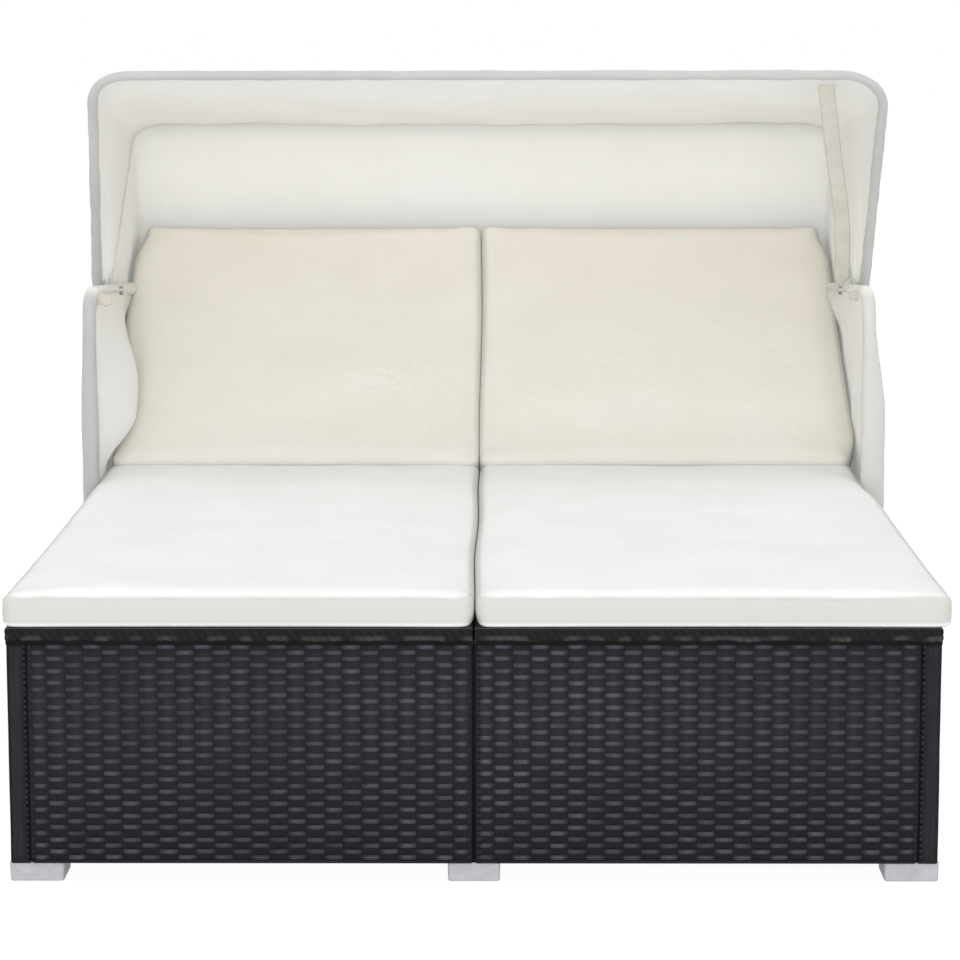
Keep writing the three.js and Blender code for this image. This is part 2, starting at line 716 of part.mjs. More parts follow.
// A bow upright over the pivot axis: a bent tube with a lug at each foot.
function bow(lugInside, drawIn) {
  const barHalf = legOut(bowReach, drawIn);
  const corners = [
    new THREE.Vector3(bowPlane, 0, bowTubeStart),
    new THREE.Vector3(barHalf, 0, bowReach),
    new THREE.Vector3(-barHalf, 0, bowReach),
    new THREE.Vector3(-bowPlane, 0, bowTubeStart),
  ];
  const tube = bentTube(corners, bowCorner, bowTubeRadius);
  const rightLug = bowLug(lugInside);
  const leftLug = bowLug(-lugInside - lugThickness);
  const hole = rodAlongX(boreFor(boltRadius), -bowPlane - overrun, bowPlane + overrun, 0, 0);
  return carve([tube, rightLug, leftLug], [hole]);
}

function pivotGroup(angle) {
  const group = new THREE.Group();
  group.position.set(0, bowPivotFromFront, bowPivotHeight);
  group.rotation.x = angle;
  model.add(group);
  return group;
}

// The strap from the front bow's bar to its right leg, flat in the bow's plane.
function tieStrap() {
  const half = strapWidth / 2;
  const top = bowReach - bowTubeRadius - touch;
  const topMiddle = legOut(bowReach, frontBowDrawIn) - strapTopFromLeg;
  const footMiddle = legOut(strapFootReach, frontBowDrawIn) - bowTubeRadius - touch - half;
  const points = [
    new THREE.Vector2(topMiddle - half, top),
    new THREE.Vector2(footMiddle - half, strapFootReach),
    new THREE.Vector2(footMiddle, strapTip),
    new THREE.Vector2(footMiddle + half, strapFootReach),
    new THREE.Vector2(topMiddle + half, top),
  ];
  const options = { depth: strapThickness, bevelEnabled: false };
  const strap = new THREE.ExtrudeGeometry(new THREE.Shape(points), options);
  return strap.translate(0, 0, -strapThickness / 2).rotateX(Math.PI / 2);
}

function addBows() {
  const front = pivotGroup(frontBowAngle);
  addPiece("front_bow", bow(frontLugInside, frontBowDrawIn), hoodCloth, front);
  addPiece("tie_strap", tieStrap(), strapWeb, front);
  addPiece("rear_bow", bow(rearLugInside, rearBowDrawIn), hoodCloth, pivotGroup(-rearBowAngle));
  addPair("pivot_bolt", pivotBolt(), bareMetal);
}

// A point of a U-shaped line about the pivot axis, from one foot over the bar to the other, at an angle from
// upright. The share goes once along it: a leg, a corner, the bar, a corner and a leg.
const legSteps = 3;
const cornerSteps = 4;
const barSteps = 10;
const clothRows = 6;
const lineSteps = 2 * (legSteps + cornerSteps) + barSteps;
function hoodLine(line, share) {
  const step = Math.round(share * lineSteps);
  const side = step <= lineSteps / 2 ? 1 : -1;
  const near = Math.min(step, lineSteps - step);
  const legTop = line.reach - line.corner;
  let x = THREE.MathUtils.lerp(line.footHalf, line.half, near / legSteps);
  let reach = line.foot + ((legTop - line.foot) * near) / legSteps;
  if (near > legSteps + cornerSteps) {
    x = (line.half - line.corner) * (1 - (near - legSteps - cornerSteps) / (barSteps / 2));
    reach = line.reach;
  } else if (near > legSteps) {
    const angle = ((Math.PI / 2) * (near - legSteps)) / cornerSteps;
    x = line.half - line.corner * (1 - Math.cos(angle));
    reach = legTop + line.corner * Math.sin(angle);
  }
  const y = bowPivotFromFront + reach * Math.sin(line.angle);
  const z = bowPivotHeight + reach * Math.cos(line.angle);
  return new THREE.Vector3(side * x, y, z);
}

// Cloth stretched from one U-shaped line to another, hollowed between them.
function hoodSheet(from, to, barHollow) {
  const inward = (line) => ({
    ...line,
    half: line.half - clothThickness,
    footHalf: line.footHalf - clothThickness,
    reach: line.reach - clothThickness,
    corner: line.corner - clothThickness,
  });
  const surface = (a, b) => (lineShare, share) => {
    const first = hoodLine(a, lineShare);
    const last = hoodLine(b, lineShare);
    const point = first.clone().lerp(last, share);
    point.x = THREE.MathUtils.lerp(first.x, last.x, THREE.MathUtils.smoothstep(share, 0, 1));
    const depth = 4 * share * (1 - share);
    const near = Math.min(lineShare, 1 - lineShare) * lineSteps;
    const barShare = THREE.MathUtils.clamp((near - legSteps) / cornerSteps, 0, 1);
    const middle = new THREE.Vector3(point.x, bowPivotFromFront, bowPivotHeight);
    const outward = point.clone().sub(middle).normalize();
    point.addScaledVector(outward, -barHollow * depth * barShare);
    const gussetShare = (1 - barShare) * Math.min(near / legSteps, 1);
    point.x -= Math.sign(point.x) * gussetHollow * depth * depth * gussetShare;
    return point;
  };
  return sheetSolid(surface(from, to), surface(inward(from), inward(to)), lineSteps, clothRows);
}

// The cloth passes outside the front bow and inside the rear one, and ends outside the side rails.
function addHoodCloth() {
  const overBow = bowTubeRadius + clothOverBow + clothThickness;
  const besideBow = bowTubeRadius + clothBesideBow + clothThickness;
  const frontLine = {
    angle: -frontBowAngle,
    half: legOut(bowReach - bowCorner, frontBowDrawIn) + besideBow,
    footHalf: legOut(clothFromPivot, frontBowDrawIn) + besideBow,
    reach: bowReach + overBow,
    corner: bowCorner + bowTubeRadius,
    foot: clothFromPivot,
  };
  const insideBow = bowTubeRadius + clothBesideBow;
  const rearLine = (angle) => ({
    angle,
    half: legOut(bowReach - bowCorner, rearBowDrawIn) - insideBow,
    footHalf: legOut(clothFromPivot, rearBowDrawIn) - insideBow,
    reach: bowReach - insideBow,
    corner: bowCorner - insideBow,
    foot: clothFromPivot,
  });
  const seamAngle = Math.atan(touch / bowReach);
  addPiece("canopy_front", hoodSheet(frontLine, rearLine(rearBowAngle - seamAngle), roofSag), hoodCloth);
  const besideRail = hoodTubeMiddle + hoodTubeRadius + touch + clothThickness;
  const railLine = {
    angle: Math.PI / 2 - Math.atan(railSlope),
    half: besideRail,
    footHalf: besideRail,
    reach: (hoodPostRear - bowPivotFromFront) / Math.cos(Math.atan(railSlope)) + besideRail - hoodTubeMiddle,
    corner: hoodRailBend / 2,
    foot: clothFromPivot,
  };
  addPiece("canopy_rear", hoodSheet(rearLine(rearBowAngle + seamAngle), railLine, rearHollow), hoodCloth);
}

// The cloth in each side frame, below the rail and between the posts.
function sideCurtain() {
  const front = hoodPostFromFront + hoodTubeRadius + touch;
  const rear = hoodPostRear - hoodTubeRadius - touch;
  const below = (hoodTubeRadius + touch) / Math.cos(Math.atan(railSlope));
  const topAt = (y) => hoodRailFront + railSlope * (y - hoodPostFromFront) - below;
  const corners = [
    new THREE.Vector3(front, curtainBottom, 0),
    new THREE.Vector3(front, topAt(front), 0),
    new THREE.Vector3(rear, topAt(rear), 0),
    new THREE.Vector3(rear, curtainBottom, 0),
  ];
  const bend = hoodRailBend - hoodTubeRadius - touch;
  const shape = new THREE.Shape(roundedLine(corners, bend).map(({ point }) => point));
  const options = { depth: clothThickness, bevelEnabled: false };
  const sheet = new THREE.ExtrudeGeometry(shape, options);
  return sheet.rotateX(Math.PI / 2).rotateZ(Math.PI / 2).translate(hoodTubeMiddle - clothThickness / 2, 0, 0);
}

function addCurtains() {
  addPair("side_curtain", sideCurtain(), hoodCloth);
  const half = hoodTubeMiddle + hoodTubeRadius;
  const front = bedLength + touch;
  const low = [-half, front, curtainBottom];
  const high = [half, front + clothThickness, hoodRailRear];
  addPiece("rear_curtain", boxBetween(low, high), hoodCloth);
}

addBase();
addFeet();
addSeats();
addSeatCushions();
addBacks();
addProps();
addRacks();
addHoodFrame();
addBows();
addHoodCloth();
addCurtains();

// The whole is centred across and along, and stands on the floor.
const daybed = new THREE.Group();
daybed.add(model);
daybed.updateMatrixWorld(true);
const bounds = new THREE.Box3().setFromObject(model, true);
const centre = bounds.getCenter(new THREE.Vector3());
model.position.set(-centre.x, -centre.y, -bounds.min.z);

export default daybed;
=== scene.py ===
# %% [markdown]
# # An outdoor daybed with a folding hood
# The real thing is a low woven bed for two, with thick off-white cushions, two backs that stand up on props,
# and a cloth hood on two bent bows. Its construction, sizes and joints come as a fixed frame of rigid parts.
# This lesson dresses that frame: woven resin strands, padded cushions, stretched cloth and the small fittings.
# Everything is in metres, with +Z up, the foot end towards -Y and the hood towards +Y.

# %% Load the frame
import json
import math

import bpy
import numpy as np
from mathutils import Matrix, Vector


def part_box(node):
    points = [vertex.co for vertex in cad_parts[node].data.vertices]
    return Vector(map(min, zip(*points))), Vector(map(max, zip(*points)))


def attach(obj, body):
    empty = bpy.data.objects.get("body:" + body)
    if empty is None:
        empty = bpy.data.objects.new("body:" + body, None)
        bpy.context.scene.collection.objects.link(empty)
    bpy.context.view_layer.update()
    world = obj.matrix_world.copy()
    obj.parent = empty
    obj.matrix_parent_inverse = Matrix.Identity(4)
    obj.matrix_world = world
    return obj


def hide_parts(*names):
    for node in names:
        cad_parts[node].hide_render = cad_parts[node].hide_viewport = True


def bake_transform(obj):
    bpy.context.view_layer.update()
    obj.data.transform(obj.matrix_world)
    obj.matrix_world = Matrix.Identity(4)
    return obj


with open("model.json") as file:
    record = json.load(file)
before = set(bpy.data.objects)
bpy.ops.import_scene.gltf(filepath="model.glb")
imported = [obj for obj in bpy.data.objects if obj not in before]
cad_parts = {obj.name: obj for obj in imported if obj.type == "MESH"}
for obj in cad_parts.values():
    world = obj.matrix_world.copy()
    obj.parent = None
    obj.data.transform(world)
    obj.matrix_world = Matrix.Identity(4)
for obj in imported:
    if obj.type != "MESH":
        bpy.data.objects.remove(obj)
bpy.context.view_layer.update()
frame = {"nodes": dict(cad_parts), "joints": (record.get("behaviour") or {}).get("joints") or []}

nodes = frame["nodes"]
joints = {joint["name"]: joint for joint in frame["joints"]}
record_boxes = {name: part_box(name) for name in nodes}
front_y = record_boxes["front_panel_left"][0].y

# %% [markdown]
# ## The camera
# A product photograph like this one is taken from far away with a long lens, so that the front looks nearly
# square on. The place, tilt and lens below come from fitting the base, the hinge line and the bows of the frame
# to the photograph, which is 960 pixels wide. A long lens far away and a short lens close by frame the same
# width, but only the first keeps the hood from looking far smaller than the base.

# %% Set up the camera
PHOTO_SIDE = 960
FOCAL_PIXELS = 3263.2
SENSOR_WIDTH = 36.0
CAMERA_RIGHT = 0.041
CAMERA_BEFORE_FRONT = 4.4387
CAMERA_HEIGHT = 1.2487
CAMERA_YAW = 0.00717
CAMERA_PITCH = 0.15120
CAMERA_ROLL = -0.00106

camera_data = bpy.data.cameras.new("photo_camera")
camera_data.sensor_width = SENSOR_WIDTH
camera_data.lens = SENSOR_WIDTH * FOCAL_PIXELS / PHOTO_SIDE
camera = bpy.data.objects.new("photo_camera", camera_data)
bpy.context.scene.collection.objects.link(camera)
camera.matrix_world = (
    Matrix.Translation((CAMERA_RIGHT, front_y - CAMERA_BEFORE_FRONT, CAMERA_HEIGHT))
    @ Matrix.Rotation(CAMERA_YAW, 4, "Z")
    @ Matrix.Rotation(math.pi / 2 - CAMERA_PITCH, 4, "X")
    @ Matrix.Rotation(CAMERA_ROLL, 4, "Z")
)
bpy.context.scene.camera = camera
print("lens", round(camera_data.lens, 1), "mm")

# %% [markdown]
# ## Light and background
# The photograph is lit very evenly on pure white, under the hood as well as on top. One lamp can't do that: it
# would either burn out the seat or leave the hood dark. So a white world gives most of the light, a broad lamp
# overhead lifts what lies flat, and a low one from the camera's side reaches into the hood. Weak lamps behind and
# on both sides keep the cloth from turning grey in other views. Their strengths come from comparing renders with
# the photograph. The world and the floor are plain white to the camera and to gloss, whatever they give as lamps,
# and the floor still takes a faint shadow.

# %% Make the light and the floor
WORLD_LIGHT = 0.72
FLOOR_HALF = 30.0
FLOOR_WHITE = 0.95
FLOOR_TONE_FOR_LIGHT = 0.72
FLOOR_TONE_FOR_CAMERA = 0.10
LAMPS = (
    ("top_softbox", (0.0, -0.6, 4.5), (0.0, 0.0, 0.4), 4.0, 50),
    ("front_softbox", (0.0, -7.0, 1.4), (0.0, 0.4, 0.7), 3.0, 280),
    ("rear_softbox", (0.0, 7.0, 1.5), (0.0, 0.8, 0.6), 3.0, 18),
    ("side_softbox", (-6.0, 0.6, 1.3), (0.0, 0.5, 0.5), 3.0, 36),
    ("side_softbox", (6.0, 0.6, 1.3), (0.0, 0.5, 0.5), 3.0, 36),
)


def light_path(tree):
    """1 for rays that come straight from the camera, or by way of gloss or glass."""
    path = tree.nodes.new("ShaderNodeLightPath")
    seen = path.outputs["Is Camera Ray"]
    for name in ("Is Glossy Ray", "Is Transmission Ray"):
        greater = tree.nodes.new("ShaderNodeMath")
        greater.operation = "MAXIMUM"
        tree.links.new(seen, greater.inputs[0])
        tree.links.new(path.outputs[name], greater.inputs[1])
        seen = greater.outputs[0]
    return seen


def make_world():
    """White where the camera or a reflection looks at it, and a softer grey as a lamp."""
    world = bpy.data.worlds.new("studio")
    bpy.context.scene.world = world
    world.use_nodes = True
    tree = world.node_tree
    tree.nodes.clear()
    strength = tree.nodes.new("ShaderNodeMapRange")
    strength.inputs["To Min"].default_value = WORLD_LIGHT
    strength.inputs["To Max"].default_value = 1.0
    tree.links.new(light_path(tree), strength.inputs["Value"])
    back = tree.nodes.new("ShaderNodeBackground")
    back.inputs["Color"].default_value = (1, 1, 1, 1)
    tree.links.new(strength.outputs[0], back.inputs["Strength"])
    out = tree.nodes.new("ShaderNodeOutputWorld")
    tree.links.new(back.outputs[0], out.inputs["Surface"])


def make_floor():
    """A pale sheet. The camera sees it mostly by its own white, so that shadows on it stay faint."""
    half = FLOOR_HALF
    mesh = bpy.data.meshes.new("floor")
    mesh.from_pydata([(-half, -half, 0), (half, -half, 0), (half, half, 0), (-half, half, 0)], [], [(0, 1, 2, 3)])
    floor = bpy.data.objects.new("floor", mesh)
    bpy.context.scene.collection.objects.link(floor)
    material = bpy.data.materials.new("floor")
    material.use_nodes = True
    tree = material.node_tree
    shader = tree.nodes["Principled BSDF"]
    shader.inputs["Roughness"].default_value = 0.9
    shader.inputs["Specular IOR Level"].default_value = 0.0
    seen = light_path(tree)
    tone = tree.nodes.new("ShaderNodeMix")
    tone.data_type = "RGBA"
    tone.inputs["A"].default_value = (*[FLOOR_TONE_FOR_LIGHT] * 3, 1)
    tone.inputs["B"].default_value = (*[FLOOR_TONE_FOR_CAMERA] * 3, 1)
    tree.links.new(seen, tone.inputs["Factor"])
    tree.links.new(tone.outputs["Result"], shader.inputs["Base Color"])
    shader.inputs["Emission Color"].default_value = (1, 1, 1, 1)
    glow = tree.nodes.new("ShaderNodeMath")
    glow.operation = "MULTIPLY"
    glow.inputs[1].default_value = FLOOR_WHITE
    tree.links.new(seen, glow.inputs[0])
    tree.links.new(glow.outputs[0], shader.inputs["Emission Strength"])
    mesh.materials.append(material)


def add_area_light(name, place, target, size, watts):
    """A square lamp at a place, turned towards a target."""
    data = bpy.data.lights.new(name, "AREA")
    data.shape = "SQUARE"
    data.size = size
    data.energy = watts
    lamp = bpy.data.objects.new(name, data)
    lamp.location = place
    lamp.rotation_euler = (Vector(target) - Vector(place)).to_track_quat("-Z", "Y").to_euler()
    lamp.visible_camera = False
    bpy.context.scene.collection.objects.link(lamp)


make_world()
make_floor()
for lamp in LAMPS:
    add_area_light(*lamp)
bpy.context.scene.view_settings.view_transform = "Standard"

# %% [markdown]
# ## Meshes from arrays
# Nearly every new piece here is a grid: two parameters run along and across the surface, numpy works out all
# points at once, and the faces follow from the grid's numbering. A closed shape whose faces were numbered the
# wrong way round has a negative volume, and then all its faces are turned. That test needs faces that agree with
# each other, so every part of a shell is numbered in one direction.

# %% Grid helpers
def grid_quads(rows, columns, closed=False):
    """Quads of a grid of rows times columns points. Where it is closed, each row is joined up into a ring."""
    row, column = np.meshgrid(np.arange(rows - 1), np.arange(columns if closed else columns - 1), indexing="ij")
    row, column = row.ravel(), column.ravel()
    below, beside = row + 1, (column + 1) % columns
    return np.stack(
        [row * columns + column, below * columns + column, below * columns + beside, row * columns + beside], 1
    )


def outline_of(rows, columns):
    """The indices of a grid's outermost points, once round."""
    return np.concatenate([
        np.arange(columns), np.arange(1, rows) * columns + columns - 1,
        (rows - 1) * columns + np.arange(columns - 2, -1, -1), np.arange(rows - 2, 0, -1) * columns,
    ])


def running_length(points):
    """Metres along a line of points, starting at 0."""
    return np.concatenate([[0], np.cumsum(np.linalg.norm(np.diff(points, axis=0), axis=1))])


def unit(vectors):
    """The same directions with a length of 1."""
    return vectors / np.linalg.norm(vectors, axis=-1)[..., None]


def tube_faces(rings, sides, count=1):
    """Faces of count separate tubes, each of the same number of rings and sides, with a flat cap on both ends."""
    quads = grid_quads(rings, sides, closed=True)
    size = rings * sides
    starts = np.arange(count)[:, None, None] * size
    faces = (quads[None] + starts).reshape(-1, 4).tolist()
    near = list(range(sides))
    far = list(range(size - 1, size - sides - 1, -1))
    for start in range(0, count * size, size):
        faces.append([start + k for k in near])
        faces.append([start + k for k in far])
    return faces


def signed_volume(points, faces):
    """Six times the volume of a closed surface, negative where its faces point inwards."""
    total = 0.0
    corners = {}
    for face in faces:
        corners.setdefault(len(face), []).append(face)
    for same in corners.values():
        same = np.asarray(same)
        for k in range(1, same.shape[1] - 1):
            a, b, c = points[same[:, 0]], points[same[:, k]], points[same[:, k + 1]]
            total += float(np.einsum("ij,ij->i", a, np.cross(b, c)).sum())
    return total


def make_object(name, points, faces, material, closed=True, smooth=True, values=None):
    """A mesh object from points and faces, with named numbers on its points."""
    points = np.asarray(points, float).reshape(-1, 3)
    faces = [list(face) for face in faces]
    if closed and signed_volume(points - points.mean(0), faces) < 0:
        faces = [face[::-1] for face in faces]
    mesh = bpy.data.meshes.new(name)
    mesh.from_pydata(points.tolist(), [], faces)
    mesh.polygons.foreach_set("use_smooth", np.full(len(mesh.polygons), smooth))
    for key, numbers in (values or {}).items():
        attribute = mesh.attributes.new(key, "FLOAT", "POINT")
        attribute.data.foreach_set("value", np.asarray(numbers, np.float32).ravel())
    mesh.materials.append(material)
    mesh.update()
    made = bpy.data.objects.new(name, mesh)
    bpy.context.scene.collection.objects.link(made)
    return made


def place(made, body, slot, *replaced):
    """Makes a piece ride on a body and hides the rigid parts it stands for. The slot is not used."""
    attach(made, body)
    if replaced:
        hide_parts(*replaced)
    return made


def smooth_step(share):
    """3s^2 - 2s^3: 0 up to a share of 0, 1 from a share of 1, and level at both ends."""
    share = np.clip(share, 0, 1)
    return share * share * (3 - 2 * share)


def soft_noise(points, wavelength, seed):
    """A smooth random value between about -1 and 1: a sum of eight waves in random directions."""
    rng = np.random.default_rng(seed)
    directions = unit(rng.normal(size=(8, 3)))
    scales = rng.uniform(0.7, 1.5, 8) * 2 * math.pi / wavelength
    phases = rng.uniform(0, 2 * math.pi, 8)
    waves = np.sin(np.asarray(points) @ (directions * scales[:, None]).T + phases)
    return waves.sum(-1) / math.sqrt(8)


print("helpers ready")

# %% [markdown]
# ## Materials from nodes
# Each finish is a Principled shader fed by procedural patterns. Colour never comes from one flat value: a noise
# moves it a little, and a bump map carries the threads, the grain or the ribs that are too fine to model.
# Numbers that are the same all over, such as sheen, are set on the shader's own sockets.

# %% Material helpers
def srgb(red, green, blue):
    """The linear colour of an 8-bit sRGB colour."""
    shares = np.array([red, green, blue]) / 255
    linear = np.where(shares <= 0.04045, shares / 12.92, ((shares + 0.055) / 1.055) ** 2.4)
    return (*linear, 1.0)


class Finish:
    """A new material with its Principled shader, and short ways to add pattern nodes to it."""

    def __init__(self, name, roughness=0.5, **sockets):
        self.material = bpy.data.materials.new(name)
        self.material.use_nodes = True
        self.tree = self.material.node_tree
        self.shader = self.tree.nodes["Principled BSDF"]
        self.shader.inputs["Roughness"].default_value = roughness
        for socket, value in sockets.items():
            self.shader.inputs[socket.replace("_", " ")].default_value = value

    def node(self, kind, **settings):
        """A node with its settings. A name that starts with in_ is one of its inputs."""
        made = self.tree.nodes.new(kind)
        for key, value in settings.items():
            if key.startswith("in_"):
                made.inputs[key[3:].replace("_", " ")].default_value = value
            else:
                setattr(made, key, value)
        return made

    def link(self, output, target):
        """Leads an output into an input."""
        self.tree.links.new(output, target)

    def object_coordinates(self):
        """The place on the object, in metres."""
        return self.node("ShaderNodeTexCoord").outputs["Object"]

    def attribute(self, name):
        """A named number kept on the points."""
        return self.node("ShaderNodeAttribute", attribute_name=name).outputs["Fac"]

    def noise(self, vector, scale, detail=3.0):
        """Clouds between 0 and 1, scale of them to a unit of the vector."""
        made = self.node("ShaderNodeTexNoise", in_Scale=scale, in_Detail=detail)
        self.link(vector, made.inputs["Vector"])
        return made.outputs["Fac"]

    def math(self, operation, first, second=None):
        """A Math node between two outputs or numbers."""
        made = self.node("ShaderNodeMath", operation=operation)
        for socket, value in zip(made.inputs, (first, second)):
            if value is None:
                continue
            if isinstance(value, (int, float)):
                socket.default_value = value
            else:
                self.link(value, socket)
        return made.outputs[0]

    def ramp(self, factor, stops):
        """Colours at positions from 0 to 1 of the factor."""
        made = self.node("ShaderNodeValToRGB")
        elements = made.color_ramp.elements
        while len(elements) < len(stops):
            elements.new(0.5)
        for element, (position, colour) in zip(elements, stops):
            element.position = position
            element.color = colour
        self.link(factor, made.inputs[0])
        return made.outputs["Color"]

    def mix(self, factor, first, second):
        """The first colour where the factor is 0, turning to the second, a fixed one, where it is 1."""
        made = self.node("ShaderNodeMix", data_type="RGBA")
        made.inputs["B"].default_value = second
        self.link(factor, made.inputs["Factor"])
        self.link(first, made.inputs["A"])
        return made.outputs["Result"]

    def colour(self, output):
        """Makes an output the surface's colour."""
        self.link(output, self.shader.inputs["Base Color"])

    def bump(self, height, distance, strength=1.0, after=None):
        """Relief of the height times the distance, on top of another bump where one is given."""
        made = self.node("ShaderNodeBump", in_Distance=distance, in_Strength=strength)
        self.link(height, made.inputs["Height"])
        if after is not None:
            self.link(after, made.inputs["Normal"])
        self.link(made.outputs[0], self.shader.inputs["Normal"])
        return made.outputs[0]


print("finish helper ready")

# %% [markdown]
# ## Woven cloth
# The cushions and the hood are both plain-woven polyester. Threads a millimetre apart can't be modelled, so two
# crossing waves make their bump. On cushions the threads follow the object's axes. On the hood they follow
# two numbers kept on the points, the metres along and across the cloth, so that the weave bends with it.

# %% Cloth finishes
THREAD_PITCH = 0.0011
THREAD_RELIEF = 0.0002
# A greyer tone painted as shade on the cushions' walls, beside their top seams and along their length.
PAINTED_SHADE_COLOUR = srgb(184, 184, 177)
# A greyer tone painted as shade on the hood's cloth: round the tubes, under the rear bow, on the sides and curtains.
POCKET_SHADE_COLOUR = srgb(169, 171, 172)
CLOUD_EDGES = (0.3, 0.7)


def weave_height(finish, first, second, pitch):
    """Threads that cross: the height is the product of a wave along each direction."""
    turns = 2 * math.pi / pitch
    one = finish.math("SINE", finish.math("MULTIPLY", first, turns))
    two = finish.math("SINE", finish.math("MULTIPLY", second, turns))
    return finish.math("MULTIPLY", one, two)


def cushion_cloth(name, dark, light):
    """Off-white cover of the cushions: a cream that clouds a little, threads, and a soft sheen. A point attribute
    gives the share of a greyer tone painted as shade, on the sides, beside the top seams and along the length."""
    finish = Finish(name, roughness=0.9, Sheen_Weight=0.15, Sheen_Roughness=0.6)
    place_vector = finish.object_coordinates()
    split = finish.node("ShaderNodeSeparateXYZ")
    finish.link(place_vector, split.inputs[0])
    cover = finish.ramp(finish.noise(place_vector, 7.0), list(zip(CLOUD_EDGES, (dark, light))))
    finish.colour(finish.mix(finish.attribute("painted_shade"), cover, PAINTED_SHADE_COLOUR))
    along = finish.math("ADD", split.outputs["Y"], split.outputs["Z"])
    threads = weave_height(finish, split.outputs["X"], along, THREAD_PITCH)
    first = finish.bump(threads, THREAD_RELIEF, 0.5)
    finish.bump(finish.noise(place_vector, 26.0), 0.0035, 0.35, after=first)
    return finish.material


def hood_cloth(name, dark, light):
    """Cloth of the hood: threads that follow the sheet and faint clouding between two tones. Light gets through
    the thin sheet by the subsurface part, which keeps the hood bright inside. A point attribute gives the share of
    a greyer tone painted as shade: round the tubes, where the cloth lies double, under the rear bow and on the sides."""
    finish = Finish(
        name, roughness=0.85, Sheen_Weight=0.1, Sheen_Roughness=0.5,
        Subsurface_Weight=0.55, Subsurface_Radius=(1, 1, 1), Subsurface_Scale=0.03,
    )
    place_vector = finish.object_coordinates()
    cloth = finish.ramp(finish.noise(place_vector, 5.0), list(zip(CLOUD_EDGES, (dark, light))))
    finish.colour(finish.mix(finish.attribute("pocket_and_shade"), cloth, POCKET_SHADE_COLOUR))
    threads = weave_height(finish, finish.attribute("along"), finish.attribute("across"), THREAD_PITCH)
    first = finish.bump(threads, THREAD_RELIEF, 0.5)
    finish.bump(finish.noise(place_vector, 9.0), 0.004, 0.3, after=first)
    return finish.material


SEAT_CLOTH = cushion_cloth("seat_cloth", srgb(239, 239, 239), srgb(245, 245, 246))
# The backs are of the seat's fabric, painted a little lighter and warmer as light under the hood.
BACK_CLOTH_PAINTED_LIGHT = cushion_cloth("back_cloth_painted_light", srgb(246, 242, 232), srgb(251, 247, 241))
HOOD_CLOTH = hood_cloth("hood_cloth", srgb(244, 243, 234), srgb(250, 249, 242))
# The front sleeve is the hood's cloth painted greyer as shade, for the light that its doubled cloth and tube keep
# out.
SLEEVE_CLOTH_PAINTED_SHADE = hood_cloth("sleeve_cloth_painted_shade", srgb(177, 178, 177), srgb(186, 187, 185))
print("cloth:", SEAT_CLOTH.name, BACK_CLOTH_PAINTED_LIGHT.name, HOOD_CLOTH.name, SLEEVE_CLOTH_PAINTED_SHADE.name)

# %% [markdown]
# ## Resin, metal and plastic
# Resin strands are drawn through a die, so they carry fine lines along their length and shine softly. Three
# numbers on the points drive them: metres along the strand, the turn round it, and a tone of its own for each
# strand. The metal parts are powder coated or zinc plated, and the feet are moulded with a faint grain.

# %% Hard finishes
RIBS_ROUND_A_STRAND = 14
WEBBING_RIB_PITCH = 0.0024


def strand_finish(name, dark, light, painted_highlight, roughness):
    """Resin: streaks along the strand, a tone per strand, and ribs as bump. Where a strand stands out furthest, a
    painted highlight lightens it in blotches, more on some strands than others."""
    finish = Finish(name, roughness=roughness, Specular_IOR_Level=0.12)
    along = finish.math("MULTIPLY", finish.attribute("along"), 18.0)
    around = finish.math("MULTIPLY", finish.attribute("around"), 9.0)
    tone = finish.attribute("tone")
    on_strand = finish.node("ShaderNodeCombineXYZ")
    for axis, number in (("X", along), ("Y", around), ("Z", finish.math("MULTIPLY", tone, 40.0))):
        finish.link(number, on_strand.inputs[axis])
    streaks = finish.math("MULTIPLY", finish.noise(on_strand.outputs[0], 1.0, 4.0), 0.6)
    shade = finish.math("ADD", streaks, finish.math("MULTIPLY", tone, 0.4))
    resin = finish.ramp(shade, [(0.25, dark), (0.75, light)])
    place_vector = finish.object_coordinates()
    small = finish.math("MULTIPLY", finish.noise(place_vector, 34.0, 1.0), 1.5)
    highlight_patches = finish.math("MULTIPLY", small, finish.math("ADD", finish.noise(place_vector, 3.0, 1.0), 0.35))
    finish.colour(finish.mix(finish.math("MULTIPLY", finish.attribute("painted_highlight"), highlight_patches), resin, painted_highlight))
    ribs = finish.math("SINE", finish.math("MULTIPLY", finish.attribute("around"), 2 * math.pi * RIBS_ROUND_A_STRAND))
    finish.bump(ribs, 0.00012, 0.6)
    return finish.material


def grained(name, dark, light, scale, roughness, bump=0.0002, **sockets):
    """A hard surface with a fine grain, in a colour that moves between two tones."""
    finish = Finish(name, roughness=roughness, **sockets)
    place_vector = finish.object_coordinates()
    finish.colour(finish.ramp(finish.noise(place_vector, scale / 20), [(0.35, dark), (0.65, light)]))
    finish.bump(finish.noise(place_vector, scale), bump, 0.5)
    return finish.material


def webbing():
    """Woven strap: beige, with ribs across it."""
    finish = Finish("strap_webbing", roughness=0.85, Sheen_Weight=0.1)
    clouds = finish.noise(finish.object_coordinates(), 30.0)
    finish.colour(finish.ramp(clouds, [(0.3, srgb(203, 200, 188)), (0.7, srgb(212, 210, 199))]))
    ribs = finish.math("SINE", finish.math("MULTIPLY", finish.attribute("along"), 2 * math.pi / WEBBING_RIB_PITCH))
    finish.bump(ribs, 0.0004, 0.7)
    return finish.material


